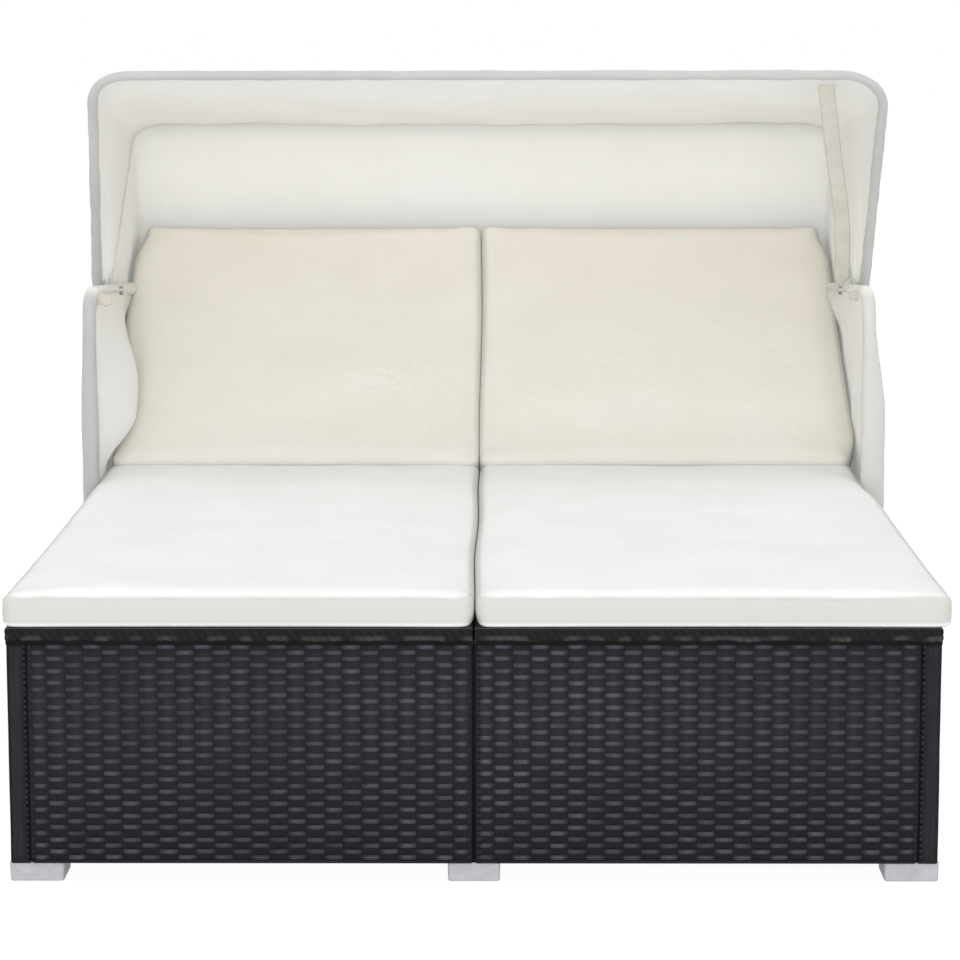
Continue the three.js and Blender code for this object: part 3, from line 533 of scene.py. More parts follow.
# The third colour of each resin is a painted highlight where the strands stand out.
RATTAN = strand_finish("resin_strand", srgb(24, 23, 28), srgb(35, 34, 40), srgb(71, 69, 77), 0.55)
RIM_WRAP = strand_finish("resin_wrap", srgb(17, 18, 16), srgb(24, 25, 23), srgb(56, 56, 55), 0.6)
PANEL_CORE = grained("panel_core", srgb(12, 12, 13), srgb(18, 18, 20), 400.0, 0.8, Specular_IOR_Level=0.1)
DECK_WEAVE = grained("deck_resin", srgb(34, 34, 36), srgb(48, 48, 51), 250.0, 0.55, 0.0006)
FOOT_PLASTIC = grained("foot_plastic", srgb(162, 162, 167), srgb(174, 174, 179), 900.0, 0.5)
DARK_METAL = grained("dark_powder_coat", srgb(50, 51, 53), srgb(60, 61, 63), 1500.0, 0.4, 0.0001)
PALE_METAL = grained("pale_powder_coat", srgb(212, 212, 208), srgb(224, 224, 220), 1500.0, 0.4, 0.0001)
ZINC = grained("zinc_plate", srgb(150, 152, 156), srgb(186, 188, 191), 700.0, 0.32, 0.00008, Metallic=1.0)
STRAP = webbing()
TIP_WEB = grained("brown_tape", srgb(184, 175, 163), srgb(195, 187, 176), 600.0, 0.85, 0.0004)
print("hard finishes:", RATTAN.name, RIM_WRAP.name, ZINC.name)

# %% [markdown]
# ## Finishes on the rigid parts
# Parts whose frame shape is already right, such as rods, beams, bolts and tubes, only get their finish. Their
# meshes stay as they are.

# %% Paint the rigid parts
FINISH_OF = {
    "centre_beam": DARK_METAL, "centre_post": DARK_METAL, "cross_rail": DARK_METAL, "hinge_rod": ZINC,
    "seat_frame": DECK_WEAVE, "backrest_frame": DECK_WEAVE, "prop_": ZINC, "hood_bolt": ZINC, "pivot_bolt": ZINC,
    "hood_side_rail": PALE_METAL, "hood_post": PALE_METAL, "hood_cross_tube": PALE_METAL,
    "front_bow": PALE_METAL, "rear_bow": PALE_METAL,
}
painted = 0
for name, node in nodes.items():
    for start, material in FINISH_OF.items():
        if name.startswith(start):
            node.data.materials.clear()
            node.data.materials.append(material)
            painted += 1
print(painted, "rigid parts painted")

# %% [markdown]
# ## The weave of the panels
# A panel of the base is a light frame with wide flat upright stakes, and resin strands run across in front of one
# stake and behind the next. Neighbouring rows are half a wave apart, which gives the short bright bars of the
# photograph. A bump map of this would vanish at the panel's edge and from the side, so every strand is a real
# closed tube: a flat oval carried along a path that swings in and out. The path also turns round the panel's
# ends, where the strands are wrapped round the corner posts.

# %% Weave settings and paths
STAKE_PITCH = 0.0256
STRAND_PITCH = 0.00855
STRAND_HALF_HEIGHT = 0.0038
STRAND_HALF_DEPTH = 0.0012
WEAVE_SWING = 0.0019
WEAVE_STEPS = 4
STAKE_HALF_WIDTH = 0.0130
STAKE_HALF_DEPTH = 0.0005
STAKE_FORWARD = 0.0010
STAKE_STAGGER = 0.0002
WAVE_FLATNESS = 1.6
STRAND_SECTION = np.array([(1, 0), (0.72, 0.85), (0, 1.15), (-0.72, 0.85), (-1, 0), (0, -1)])
SECTION_HIGHLIGHT = np.array([0.3, 0.85, 1, 0.85, 0.3, 0])


def plan_path(corners, radius, step):
    """Points and outward normals along a line seen from above, with its inner corners rounded.
    Straight stretches are cut into equal steps, and each corner into a quarter arc of three steps."""
    corners = np.asarray(corners, float)
    points, normals = [], []
    directions = np.diff(corners, axis=0)
    lengths = np.linalg.norm(directions, axis=1)
    directions /= lengths[:, None]
    outward = np.stack([directions[:, 1], -directions[:, 0]], 1)
    for k in range(len(directions)):
        start = radius if k > 0 else 0
        end = lengths[k] - (radius if k < len(directions) - 1 else 0)
        count = max(1, round((end - start) / step))
        share = np.linspace(start, end, count + 1)
        points.append(corners[k] + share[:, None] * directions[k])
        normals.append(np.repeat(outward[k][None], len(share), 0))
        if k < len(directions) - 1:
            angle = np.radians([22.5, 45, 67.5])[:, None]
            middle = corners[k + 1] - directions[k] * radius - outward[k] * radius
            normal = outward[k] * np.cos(angle) + outward[k + 1] * np.sin(angle)
            points.append(middle + normal * radius)
            normals.append(normal)
    return np.concatenate(points), np.concatenate(normals)


def woven_strands(points, normals, rows, swing, phase, tuck, rng):
    """Strands over a path: the distance from the path is -(swing + depth) + swing * wave, where the wave is a
    flattened cosine of the phase, half a turn on from row to row. Where they don't swing they lie deeper by the
    tuck. A painted highlight lies where the wave stands out. Returns points and values for all rows."""
    count = len(rows)
    turn = phase[None] + math.pi * np.arange(count)[:, None]
    wave = np.tanh(WAVE_FLATNESS * np.cos(turn)) / math.tanh(WAVE_FLATNESS)
    strength = swing[None] * (1 + rng.normal(0, 0.06, (count, 1)))
    out = np.where(swing[None] > 0, strength * wave - WEAVE_SWING - STRAND_HALF_DEPTH, -STRAND_HALF_DEPTH - tuck)
    # Painted highlight where the strand stands out furthest.
    lit = smooth_step((wave - 0.25) / 0.65) * smooth_step(swing / WEAVE_SWING * 1.5)[None]
    lift = rng.normal(0, 0.0002, (count, 1)) + 0.0003 * np.sin(turn * 0.37 + rng.uniform(0, 6, (count, 1)))
    depth = out[..., None] + STRAND_HALF_DEPTH * STRAND_SECTION[:, 1]
    height = (np.asarray(rows)[:, None] + lift)[..., None] + STRAND_HALF_HEIGHT * STRAND_SECTION[:, 0]
    plan = points[None, :, None] + normals[None, :, None] * depth[..., None]
    made = np.concatenate([plan, height[..., None]], -1)
    shape = made.shape[:3]
    values = {
        "along": np.broadcast_to(running_length(points)[None, :, None], shape),
        "around": np.broadcast_to(np.arange(len(STRAND_SECTION)) / len(STRAND_SECTION), shape),
        "tone": np.broadcast_to(rng.uniform(0, 1, (count, 1, 1)), shape),
        "painted_highlight": lit[..., None] * SECTION_HIGHLIGHT,
    }
    return made.reshape(-1, 3), values


def block_points(low, high, bevel):
    """A box with its edges cut off: four rings of eight corners, drawn in by the bevel at both ends."""
    (x0, y0, z0), (x1, y1, z1) = low, high
    rings = []
    for z, inset in ((z0, bevel), (z0 + bevel, 0), (z1 - bevel, 0), (z1, bevel)):
        a0, a1, b0, b1 = x0 + inset, x1 - inset, y0 + inset, y1 - inset
        rings += [
            (a0 + bevel, b0, z), (a1 - bevel, b0, z), (a1, b0 + bevel, z), (a1, b1 - bevel, z),
            (a1 - bevel, b1, z), (a0 + bevel, b1, z), (a0, b1 - bevel, z), (a0, b0 + bevel, z),
        ]
    return np.array(rings), tube_faces(4, 8)


def join_shells(shells):
    """Several closed shells as one list of points, faces and values."""
    points, faces, values, start = [], [], {}, 0
    for shell_points, shell_faces, shell_values in shells:
        shell_points = np.asarray(shell_points, float).reshape(-1, 3)
        if signed_volume(shell_points - shell_points.mean(0), shell_faces) < 0:
            shell_faces = [face[::-1] for face in shell_faces]
        points.append(shell_points)
        faces += [[start + k for k in face] for face in shell_faces]
        for key in ("along", "around", "tone", "painted_highlight"):
            given = shell_values.get(key)
            numbers = np.zeros(len(shell_points)) if given is None else np.asarray(given).ravel()
            values.setdefault(key, []).append(numbers)
        start += len(shell_points)
    return np.concatenate(points), faces, {key: np.concatenate(parts) for key, parts in values.items()}


print("stakes every", STAKE_PITCH, "m, strands every", STRAND_PITCH, "m")

# %% [markdown]
# Each panel is then one object of dark core, stakes and strands. The side panels' strands run from inside the
# front end, round the corner post and along the whole side. The lowest strip is the bare frame tube, which is
# the thin dark line above the feet in the photograph.

# %% Weave the panels
PANEL_EDGE = 0.005
WRAP_RADIUS = 0.005
BOTTOM_STRIP = 0.005
FADE_AT_ENDS = 0.009
CORE_DEPTH = 0.0062
END_DEPTH = 0.0034
WRAP_TUCK = 0.0028
HIDDEN_INSET = 0.001


def woven_panel(name, corners, face_segment, tuck, seed):
    """One panel: corners is the path of its strands seen from above, face_segment the stretch that is woven. The
    stakes, the dark core and the bare strip below are blocks behind the strands."""
    low, high = record_boxes[name]
    rng = np.random.default_rng(seed)
    points, normals = plan_path(corners, WRAP_RADIUS, STAKE_PITCH / WEAVE_STEPS)
    start, end = (np.asarray(corners[face_segment + k], float) for k in (0, 1))
    run = np.linalg.norm(end - start)
    direction = (end - start) / run
    outward = np.array([direction[1], -direction[0]])
    along_face = (points - start) @ direction
    facing = np.abs(normals @ outward - 1) < 1e-6
    edge = np.minimum(along_face, run - along_face)
    swing = WEAVE_SWING * smooth_step((edge - PANEL_EDGE) / FADE_AT_ENDS) * facing
    stakes = round(run / STAKE_PITCH)
    phase = math.pi * (along_face / run * stakes - 0.5)
    first = low.z + BOTTOM_STRIP + STRAND_HALF_HEIGHT
    count = round((high.z - STRAND_HALF_HEIGHT - first) / STRAND_PITCH) + 1
    rows = np.linspace(first, high.z - STRAND_HALF_HEIGHT, count)
    made, values = woven_strands(points, normals, rows, swing, phase, tuck, rng)
    shells = [(made, tube_faces(len(points), len(STRAND_SECTION), count), values)]
    for k in range(stakes):
        behind = WEAVE_SWING + STRAND_HALF_DEPTH - STAKE_FORWARD + STAKE_STAGGER * (k % 2)
        middle = start + direction * run * (k + 0.5) / stakes - outward * behind
        half = direction * STAKE_HALF_WIDTH
        a, b = middle - half - outward * STAKE_HALF_DEPTH, middle + half + outward * STAKE_HALF_DEPTH
        box_low = (min(a[0], b[0]), min(a[1], b[1]), low.z + BOTTOM_STRIP)
        box_high = (max(a[0], b[0]), max(a[1], b[1]), high.z - HIDDEN_INSET)
        shells.append((*block_points(box_low, box_high, 0.0004), {}))
    core_low, core_high = np.array(low), np.array(high)
    inset = np.where(np.abs(direction) > 0.5, END_DEPTH, CORE_DEPTH)
    core_low[:2] += inset
    core_high[:2] -= inset
    core_low[2] += HIDDEN_INSET
    core_high[2] -= HIDDEN_INSET
    shells.append((*block_points(core_low, core_high, 0.002), {}))
    strip_low, strip_high = np.array(low), np.array([*high[:2], low.z + BOTTOM_STRIP])
    strip_low[:2] += HIDDEN_INSET
    strip_high[:2] -= HIDDEN_INSET
    shells.append((*block_points(strip_low, strip_high, 0.0012), {}))
    all_points, faces, all_values = join_shells(shells)
    panel = make_object("woven_" + name, all_points, faces, RATTAN, closed=False, values=all_values)
    place(panel, "root", "rattan", name)
    print(panel.name, count, "rows,", stakes, "stakes,", len(panel.data.polygons), "faces")


RETURN = 0.02
CORNER_GAP = -0.001
SEAM_GAP = 0.0012
for side, sign in (("left", -1), ("right", 1)):
    low, high = record_boxes["side_panel_" + side]
    outer, inner = (high.x, low.x) if sign > 0 else (low.x, high.x)
    loop = [
        (inner, low.y + RETURN), (inner, low.y), (outer, low.y),
        (outer, high.y), (inner, high.y), (inner, high.y - RETURN),
    ]
    if sign < 0:
        loop = loop[::-1]
    woven_panel("side_panel_" + side, loop, 2, WRAP_TUCK, 11 + sign)
    for end in ("front", "rear"):
        low, high = record_boxes[f"{end}_panel_{side}"]
        face, back = (low.y, low.y + RETURN) if end == "front" else (high.y, high.y - RETURN)
        at_low, at_high = (CORNER_GAP, SEAM_GAP) if sign < 0 else (SEAM_GAP, CORNER_GAP)
        near, far = low.x + at_low, high.x - at_high
        loop = [(near, back), (near, face), (far, face), (far, back)]
        if end == "rear":
            loop = loop[::-1]
        woven_panel(f"{end}_panel_{side}", loop, 1, 0.0, 21 + sign)

# %% [markdown]
# The ends of the side panels are the bed's corners. There, wider flat strands run upright round the corner post and
# hide the ends of the weave. Each corner is one closed shell: its outline seen from above, with a shallow arch for
# each strand, is carried straight up. A dark filler behind the joint to the next panel keeps daylight out of it.

# %% Wrap the corners
CORNER_STRAND_WIDTH = 0.0078
CORNER_STEP = 0.0012
CORNER_LEVELS = 28
CORNER_THICKNESS = 0.0024
CORNER_RELIEF = 0.0007
CORNER_BACK = 0.014
CORNER_SHORT = 0.006
FILLER_HALF_WIDTH = 0.009
FILLER_DEPTHS = (0.0062, 0.026)
FILLER_BEVEL = 0.0006


def corner_wrap(name, low, high, outer, inner, end_y, into, seed):
    """Upright strands round a corner: the relief is -(relief) * u^4, where u runs from -1 to 1 across a strand. The
    shell is closed on the post's side, and waves a little from the floor up, as hand work does."""
    sign = 1 if outer > inner else -1
    inner += sign * CORNER_SHORT
    back_y = end_y + into * CORNER_BACK
    corners = [(inner, back_y), (inner, end_y), (outer, end_y), (outer, back_y)]
    if sign * into < 0:
        corners = corners[::-1]
    line, normals = plan_path(corners, WRAP_RADIUS, CORNER_STEP)
    keep = np.concatenate([[True], np.linalg.norm(np.diff(line, axis=0), axis=1) > 1e-6])
    line, normals = line[keep], normals[keep]
    along = running_length(line) / CORNER_STRAND_WIDTH
    u = 2 * (along - np.floor(along)) - 1
    levels = np.linspace(low.z + 0.0012, high.z - 0.0008, CORNER_LEVELS)
    tones = np.random.default_rng(seed).uniform(0, 1, 16)[np.floor(along).astype(int)]
    outside = line[None] - normals[None] * (CORNER_RELIEF * u[None, :, None] ** 4)
    waves = soft_noise(np.stack(np.broadcast_arrays(along[None] * 0.02, levels[:, None], 0.0), -1), 0.09, seed)
    outside = outside - normals[None] * (0.0002 + 0.0002 * waves)[..., None]
    inside = np.repeat((line - normals * CORNER_THICKNESS)[None, ::-1], len(levels), 0)
    ring = np.concatenate([outside, inside], 1)
    heights = np.broadcast_to(levels[:, None, None], (*ring.shape[:2], 1))
    # Painted highlight along the middle of each upright strand.
    values = {
        "along": heights,
        "around": np.broadcast_to(np.concatenate([u, u[::-1]]) * 0.5 + 0.5, ring.shape[:2]),
        "tone": np.broadcast_to(np.concatenate([tones, tones[::-1]]), ring.shape[:2]),
        "painted_highlight": np.broadcast_to(np.concatenate([0.16 * (1 - u**2), 0 * u]), ring.shape[:2]),
    }
    faces = tube_faces(len(levels), ring.shape[1])
    made = make_object(name, np.concatenate([ring, heights], -1), faces, RATTAN, values=values)
    return place(made, "root", "rattan")


for side, sign in (("left", -1), ("right", 1)):
    low, high = record_boxes["side_panel_" + side]
    outer, inner = (high.x, low.x) if sign > 0 else (low.x, high.x)
    for end, end_y, into in (("front", low.y, 1), ("rear", high.y, -1)):
        made = corner_wrap(f"corner_wrap_{end}_{side}", low, high, outer, inner, end_y, into, 25 + sign + into)
        near, far = sorted(end_y + into * depth for depth in FILLER_DEPTHS)
        points, faces = block_points(
            (inner - FILLER_HALF_WIDTH, near, low.z + HIDDEN_INSET),
            (inner + FILLER_HALF_WIDTH, far, high.z - HIDDEN_INSET), FILLER_BEVEL,
        )
        place(make_object(f"corner_filler_{end}_{side}", points, faces, PANEL_CORE), "root", "rattan")
print("corner wraps of", len(made.data.polygons), "faces")

# %% [markdown]
# ## The wrapped rims
# The seat frames are flat bars with resin strands wrapped closely round them, a little on the slant. Only their
# outer faces show, as the dark band under the cushions. A band of closed surface just outside the bar carries one
# shallow arch per strand. A strip of shadow lies below the front bands, where the frame rests on the base.

# %% Wrap the rims
WRAP_PITCH = 0.0128
WRAP_SLANT = 0.7
WRAP_HEIGHT = 0.0009
WRAP_STEPS = 5
BAND_EDGE = 0.0006
BAND_MARGIN = 0.004
BAND_LIFT = 0.0016
HINGE_GAP = 0.024


def wrapped_band(name, start, end, outward, height, seed):
    """A band along a level bar: the height of its surface is WRAP_HEIGHT * (1 - u^4), where u runs from -1 to 1
    across each strand, and the strands lean by the slant. Its lower edge is a little uneven, and in its lower half
    every other strand or so carries a paler painted highlight for a stretch. The band is closed on the bar's side."""
    start, end, outward = (np.asarray(v, float) for v in (start, end, outward))
    up = np.array([0.0, 0.0, 1.0])
    run = np.linalg.norm(end - start)
    count = max(2, round(run / WRAP_PITCH))
    along = np.linspace(0, 1, count * WRAP_STEPS + 1)
    across = np.linspace(-1, 1, 9)
    a, c = np.meshgrid(along, across, indexing="ij")
    position = a * count + WRAP_SLANT * c * height / 2 / WRAP_PITCH
    u = 2 * (position - np.floor(position)) - 1
    rng = np.random.default_rng(seed)
    tones = rng.uniform(0, 1, count + 3)
    tone = tones[np.clip(np.floor(position).astype(int) + 1, 0, count + 2)]
    rise = 0.0002 + WRAP_HEIGHT * (1 - u**4) * (0.85 + 0.3 * tone) * (1 - np.abs(c) ** 6)
    metres = a[..., None] * run * np.array([1.0, 0, 0])
    slack = 0.0011 * soft_noise(metres, 0.05, seed) * (1 - c) / 2
    base = start + a[..., None] * (end - start) + up * (c * height / 2 + slack)[..., None]
    # Painted highlight in stretches of the band's lower half.
    highlight_streak = smooth_step(0.5 + soft_noise(metres, 0.034, seed + 7)) * 1.6
    outer = base + outward * rise[..., None]
    inner = base - outward * BAND_EDGE
    rings = np.concatenate([outer, inner[:, ::-1]], 1)
    values = {
        "along": np.concatenate([c, c[:, ::-1]], 1) * height,
        "around": np.concatenate([u, u[:, ::-1]], 1) * 0.5 + 0.5,
        "tone": np.concatenate([tone, tone[:, ::-1]], 1),
        "painted_highlight": np.concatenate([highlight_streak * smooth_step(-c * 3) * smooth_step((1.1 + c) * 3), 0 * c], 1),
    }
    band = make_object(name, rings.reshape(-1, 3), tube_faces(len(along), rings.shape[1]), RIM_WRAP, values=values)
    place(band, "root", "rim_weave")


for side, sign in (("left", -1), ("right", 1)):
    low, high = record_boxes["seat_frame_" + side]
    height = high.z - low.z - BAND_MARGIN
    middle = (low.z + high.z) / 2 + BAND_LIFT
    outer = high.x if sign > 0 else low.x
    front = [(low.x, low.y, middle), (high.x, low.y, middle)]
    wrapped_band(f"seat_band_front_{side}", *front, (0, -1, 0), height, 31 + sign)
    edge = [(outer, low.y, middle), (outer, high.y - HINGE_GAP, middle)]
    wrapped_band(f"seat_band_side_{side}", *edge, (sign, 0, 0), height, 41 + sign)
    shadow_low = (low.x + 0.0006, low.y - 0.0005, low.z - 0.0012)
    shadow_high = (high.x - 0.0006, low.y + 0.004, low.z + 0.0052)
    points, faces = block_points(shadow_low, shadow_high, 0.0004)
    place(make_object(f"rim_shadow_{side}", points, faces, PANEL_CORE), "root", "rattan")
print("seat rims wrapped every", WRAP_PITCH, "m")

# %% [markdown]
# ## The cushions
# Each cushion is a foam block in a sewn cover: a top and a bottom panel joined by a band that runs round the
# sides. It could be a scaled cube with a bevel, but a real one is never flat: the top is crowned, the sides pull in
# between the corners, and the seams pucker. Here the surface is a grid with narrow rows at the seams. A square
# grid is bent to a round-cornered outline by the mapping of a square to a disc in each corner.

# %% Cushion surface
CUSHION_ROUND = 0.0075
CUSHION_CORNER = 0.020
CUSHION_DRAW_IN = 0.004
CUSHION_STEP = 0.0135
SEAM_ROWS = np.array([0.0, 0.0009, 0.0027, 0.005, 0.0078, 0.014])
WALL_LEVELS = np.array([0.75, 0.5, 0.25])
WALL_FROM_SEAM = 0.01
WALL_SWELL = 0.0006


def cushion_lines(length):
    """Distances from one side to the other: the narrow seam rows at both ends and even rows between."""
    count = round((length - 2 * SEAM_ROWS[-1]) / CUSHION_STEP) + 1
    inner = np.linspace(SEAM_ROWS[-1], length - SEAM_ROWS[-1], count)
    return np.concatenate([SEAM_ROWS[:-1], inner, length - SEAM_ROWS[-2::-1]])


def cushion_surface(width, length, thickness, crown):
    """A closed cushion round the origin. The height of the top is the rounding sqrt(1 - (1 - e / r)^2) * r at a
    distance e from the outline, plus a crown of (1 - s^4)(1 - t^4). The bottom has the rounding alone, and the
    walls between the two swell by 4h(1 - h). Returns points, faces, the distance from the seams, and the indices
    of the two seams."""
    across, along = cushion_lines(width) - width / 2, cushion_lines(length) - length / 2
    s, t = np.meshgrid(across, along, indexing="ij")
    half_w, half_l = width / 2, length / 2
    a = np.clip((np.abs(s) - half_w + CUSHION_CORNER) / CUSHION_CORNER, 0, 1)
    b = np.clip((np.abs(t) - half_l + CUSHION_CORNER) / CUSHION_CORNER, 0, 1)
    in_corner = (a > 0) & (b > 0)
    disc_a, disc_b = a * np.sqrt(1 - b * b / 2), b * np.sqrt(1 - a * a / 2)
    x = np.where(in_corner, np.sign(s) * (half_w - CUSHION_CORNER * (1 - disc_a)), s)
    y = np.where(in_corner, np.sign(t) * (half_l - CUSHION_CORNER * (1 - disc_b)), t)
    edge = np.minimum(half_w - np.abs(s), half_l - np.abs(t))
    edge = np.where(in_corner, CUSHION_CORNER * (1 - np.hypot(disc_a, disc_b)), edge).clip(0)
    x = x * (1 - CUSHION_DRAW_IN / half_w * (1 - (y / half_l) ** 2))
    y = y * (1 - CUSHION_DRAW_IN / half_l * (1 - (x / half_w) ** 2))
    bend = np.sqrt(1 - (1 - np.clip(edge / CUSHION_ROUND, 0, 1)) ** 2) * CUSHION_ROUND
    wall = thickness / 2 - CUSHION_ROUND
    swell = crown * (1 - (s / half_w) ** 4) * (1 - (t / half_l) ** 4)
    top = np.stack([x, y, wall + bend + swell], -1)
    bottom = np.stack([x, y, -wall - bend], -1)
    rows, columns = s.shape
    size = rows * columns
    faces = grid_quads(rows, columns)
    ring = outline_of(rows, columns)
    count = len(ring)
    outline = top.reshape(-1, 3)[ring]
    normal = outline[:, :2] / np.array([half_w, half_l])
    normal = unit(np.sign(normal) * np.abs(normal) ** 12)
    walls = np.repeat(outline[None], len(WALL_LEVELS), 0)
    walls[..., 2] = wall * (2 * WALL_LEVELS[:, None] - 1)
    walls[..., :2] += normal * (WALL_SWELL * 4 * WALL_LEVELS * (1 - WALL_LEVELS))[:, None, None]
    points = np.concatenate([top.reshape(-1, 3), bottom.reshape(-1, 3), walls.reshape(-1, 3)])
    loops = [ring, *(2 * size + k * count + np.arange(count) for k in range(len(WALL_LEVELS))), ring + size]
    side = [
        np.stack([lower, np.roll(lower, -1), np.roll(upper, -1), upper], 1)
        for upper, lower in zip(loops[:-1], loops[1:])
    ]
    faces = np.concatenate([faces[:, ::-1], faces + size, *side])
    distance = np.concatenate([edge.ravel(), edge.ravel(), np.full(len(WALL_LEVELS) * count, WALL_FROM_SEAM)])
    return points, faces.tolist(), distance, np.concatenate([ring, ring + size])


low, high = record_boxes["seat_cushion_left"]
print("lines of a seat cushion:", len(cushion_lines(high.x - low.x)), "by", len(cushion_lines(high.y - low.y)))

# %% [markdown]
# The padding comes from a cloth simulation: the cover is blown up by a little pressure with its seams held, which
# gives the top its tension lines and the soft shoulder beside each seam. How far a point may move is capped, the
# bottom stays flat where it lies on the deck, and one round of subdivision smooths the result.

# %% Padding by simulation
PAD_FRAMES = 14
PAD_PRESSURE = 4.0
PAD_LIMIT = 0.004
PUCKER_HEIGHT = 0.0007
CLOUD_HEIGHT = 0.0011
SHOULDER = 0.0115
SEAT_BELOW_BOX = 0.005
SEAT_CROWN = 0.004
# Share of the greyer tone painted as shade on the seat cushions' walls and beside their top seams.
SEAT_WALL_SHADE = 0.85


def swell(made, held, cap, mask):
    """Runs the pressure simulation and moves every point by its result, capped and scaled by the mask."""
    scene = bpy.context.scene
    group = made.vertex_groups.new(name="seams")
    group.add([int(k) for k in held], 1.0, "REPLACE")
    cloth = made.modifiers.new("padding", "CLOTH")
    settings = cloth.settings
    settings.quality = 4
    settings.mass = 0.25
    settings.tension_stiffness = 12
    settings.compression_stiffness = 12
    settings.shear_stiffness = 5
    settings.bending_stiffness = 0.6
    settings.use_pressure = True
    settings.uniform_pressure_force = PAD_PRESSURE
    settings.vertex_group_mass = "seams"
    settings.effector_weights.gravity = 0
    cloth.collision_settings.use_collision = False
    cloth.point_cache.frame_start = 1
    cloth.point_cache.frame_end = PAD_FRAMES
    for step in range(1, PAD_FRAMES + 1):
        scene.frame_set(step)
    shaped = made.evaluated_get(bpy.context.evaluated_depsgraph_get()).to_mesh()
    count = len(made.data.vertices)
    before, after = np.empty(count * 3), np.empty(count * 3)
    made.data.vertices.foreach_get("co", before)
    shaped.vertices.foreach_get("co", after)
    made.modifiers.remove(cloth)
    made.vertex_groups.remove(group)
    scene.frame_set(1)
    before, after = before.reshape(-1, 3), after.reshape(-1, 3)
    shift = after - before
    length = np.linalg.norm(shift, axis=1)
    shift *= (np.minimum(length, cap) / np.maximum(length, 1e-9))[:, None] * mask[:, None]
    made.data.vertices.foreach_set("co", (before + shift).ravel())
    made.data.update()
    return float(np.linalg.norm(shift, axis=1).max())


def make_cushion(name, low, high, crown, seed, body, node, cover, shade, shape, turn=None):
    """A cushion between two corners of a box, shaped by an extra function, swollen, and turned into place. shade is
    the painted shade: the share of a greyer tone on its walls, and a function of the share of the length for its top."""
    size = np.subtract(high, low)
    centre = np.add(low, high) / 2
    points, faces, distance, seams = cushion_surface(size[0], size[1], size[2], crown)
    pucker = soft_noise(points, 0.03, seed) * PUCKER_HEIGHT * np.exp(-distance / 0.014) * (distance > 1e-6)
    cloud = soft_noise(points * [1, 1, 3], 0.24, seed + 1) * CLOUD_HEIGHT
    points[:, 2] += np.where(points[:, 2] > 0, pucker + cloud * smooth_step(distance / 0.05), 0)
    points = shape(points, size)
    wall = np.abs(points[:, 2]) < size[2] / 2 - CUSHION_ROUND + 1e-5
    from_end = points[:, 1] + size[1] / 2
    # Painted shade: the walls and the shoulder beside the top seam take a greyer tone, and the top one that runs
    # along the length.
    turned = np.where((points[:, 2] > 0) & ~wall, 1 - smooth_step(distance / SHOULDER), 0)
    tone = np.where(wall, shade[0], np.maximum(shade[0] * turned, shade[1](from_end / size[1])))
    made = make_object(name, points + centre, faces, cover, values={"painted_shade": tone})
    moved = 0.0
    moved = swell(made, seams, PAD_LIMIT, np.where(points[:, 2] > 0, 1.0, 0.0))
    smooth = made.modifiers.new("smooth", "SUBSURF")
    smooth.levels = smooth.render_levels = 1
    if turn is not None:
        made.data.transform(turn)
    place(made, body, "cushion_cloth", node)
    print(name, "swollen by up to", round(moved * 1000, 1), "mm")


def seat_painted_shade(share):
    """Painted shade: a little greyer towards the foot end, so that the seat by the hinge, which the back shades,
    comes
    near the rest in brightness: 0.16 * (1 - e^(-2.8 d)) at a share d of the length from the head end."""
    return 0.16 * (1 - np.exp(-2.8 * (1 - share)))


def back_painted_shade(share):
    """Greyer towards the hinge, where little light falls: 0.45 * e^(-3.8 d) at a share d of the length from it."""
    return 0.45 * np.exp(-3.8 * share)


def beside(points, size, sign):
    """0 up to halfway from the middle to the side that sign points to, and 1 at that side."""
    return smooth_step(points[:, 0] * sign / size[0] * 4 - 1)


def close_seam(points, size, sign, press=0.0007):
    """The side at the middle of the bed is straight, because both cushions press on each other there: the drawing
    in is taken back, and a bit more by the press, but for a slow wave of 1.6 mm."""
    inner = beside(points, size, -sign)
    drawn = CUSHION_DRAW_IN * (1 - (points[:, 1] / size[1] * 2) ** 2) + press
    points[:, 0] -= sign * drawn * inner
    points[:, 0] += 0.0016 * np.sin(points[:, 1] * 9 + 0.8) * inner
    return points


for side, sign in (("left", -1), ("right", 1)):
    low, high = record_boxes["seat_cushion_" + side]

    def overhang(points, size, sign=sign):
        """The outer side stands over the rim up to the side frame's post, by 14 mm on the right and 6 mm on the
        left, and by 4 mm behind it. The lower corners at the middle seam are rounded off."""
        from_front = points[:, 1] + size[1] / 2
        most, until = (0.014, 0.88) if sign > 0 else (0.006, 1.0)
        reach = 0.004 + (most - 0.004) * (1 - smooth_step((from_front - until) / 0.16))
        points[:, 0] += sign * reach * beside(points, size, sign)
        to_seam = size[0] / 2 + points[:, 0] * sign
        at_foot = smooth_step(-points[:, 2] / size[2] * 2) * np.exp(-((from_front / 0.03) ** 2))
        points[:, 0] += sign * 0.006 * at_foot * np.exp(-to_seam / 0.012)
        return close_seam(points, size, sign)

    make_cushion(
        "cushion_seat_" + side, (low.x, low.y, low.z), (high.x, high.y, high.z - SEAT_BELOW_BOX), SEAT_CROWN,
        51 + sign, "root", "seat_cushion_" + side, SEAT_CLOTH, (SEAT_WALL_SHADE, seat_painted_shade), overhang,
    )

# %% [markdown]
# A back cushion is made lying flat beside its hinge and then turned by the slope of its frame, about the hinge.
# Its box is given that way too: from which distance up the frame and off its plane to which.

# %% Back cushions
BACK_SLOPE = math.radians(29.5)
BACK_LOW = (0.0130, 0.0113)
BACK_HIGH = (0.7646, 0.0648)
BACK_CROWN = 0.003
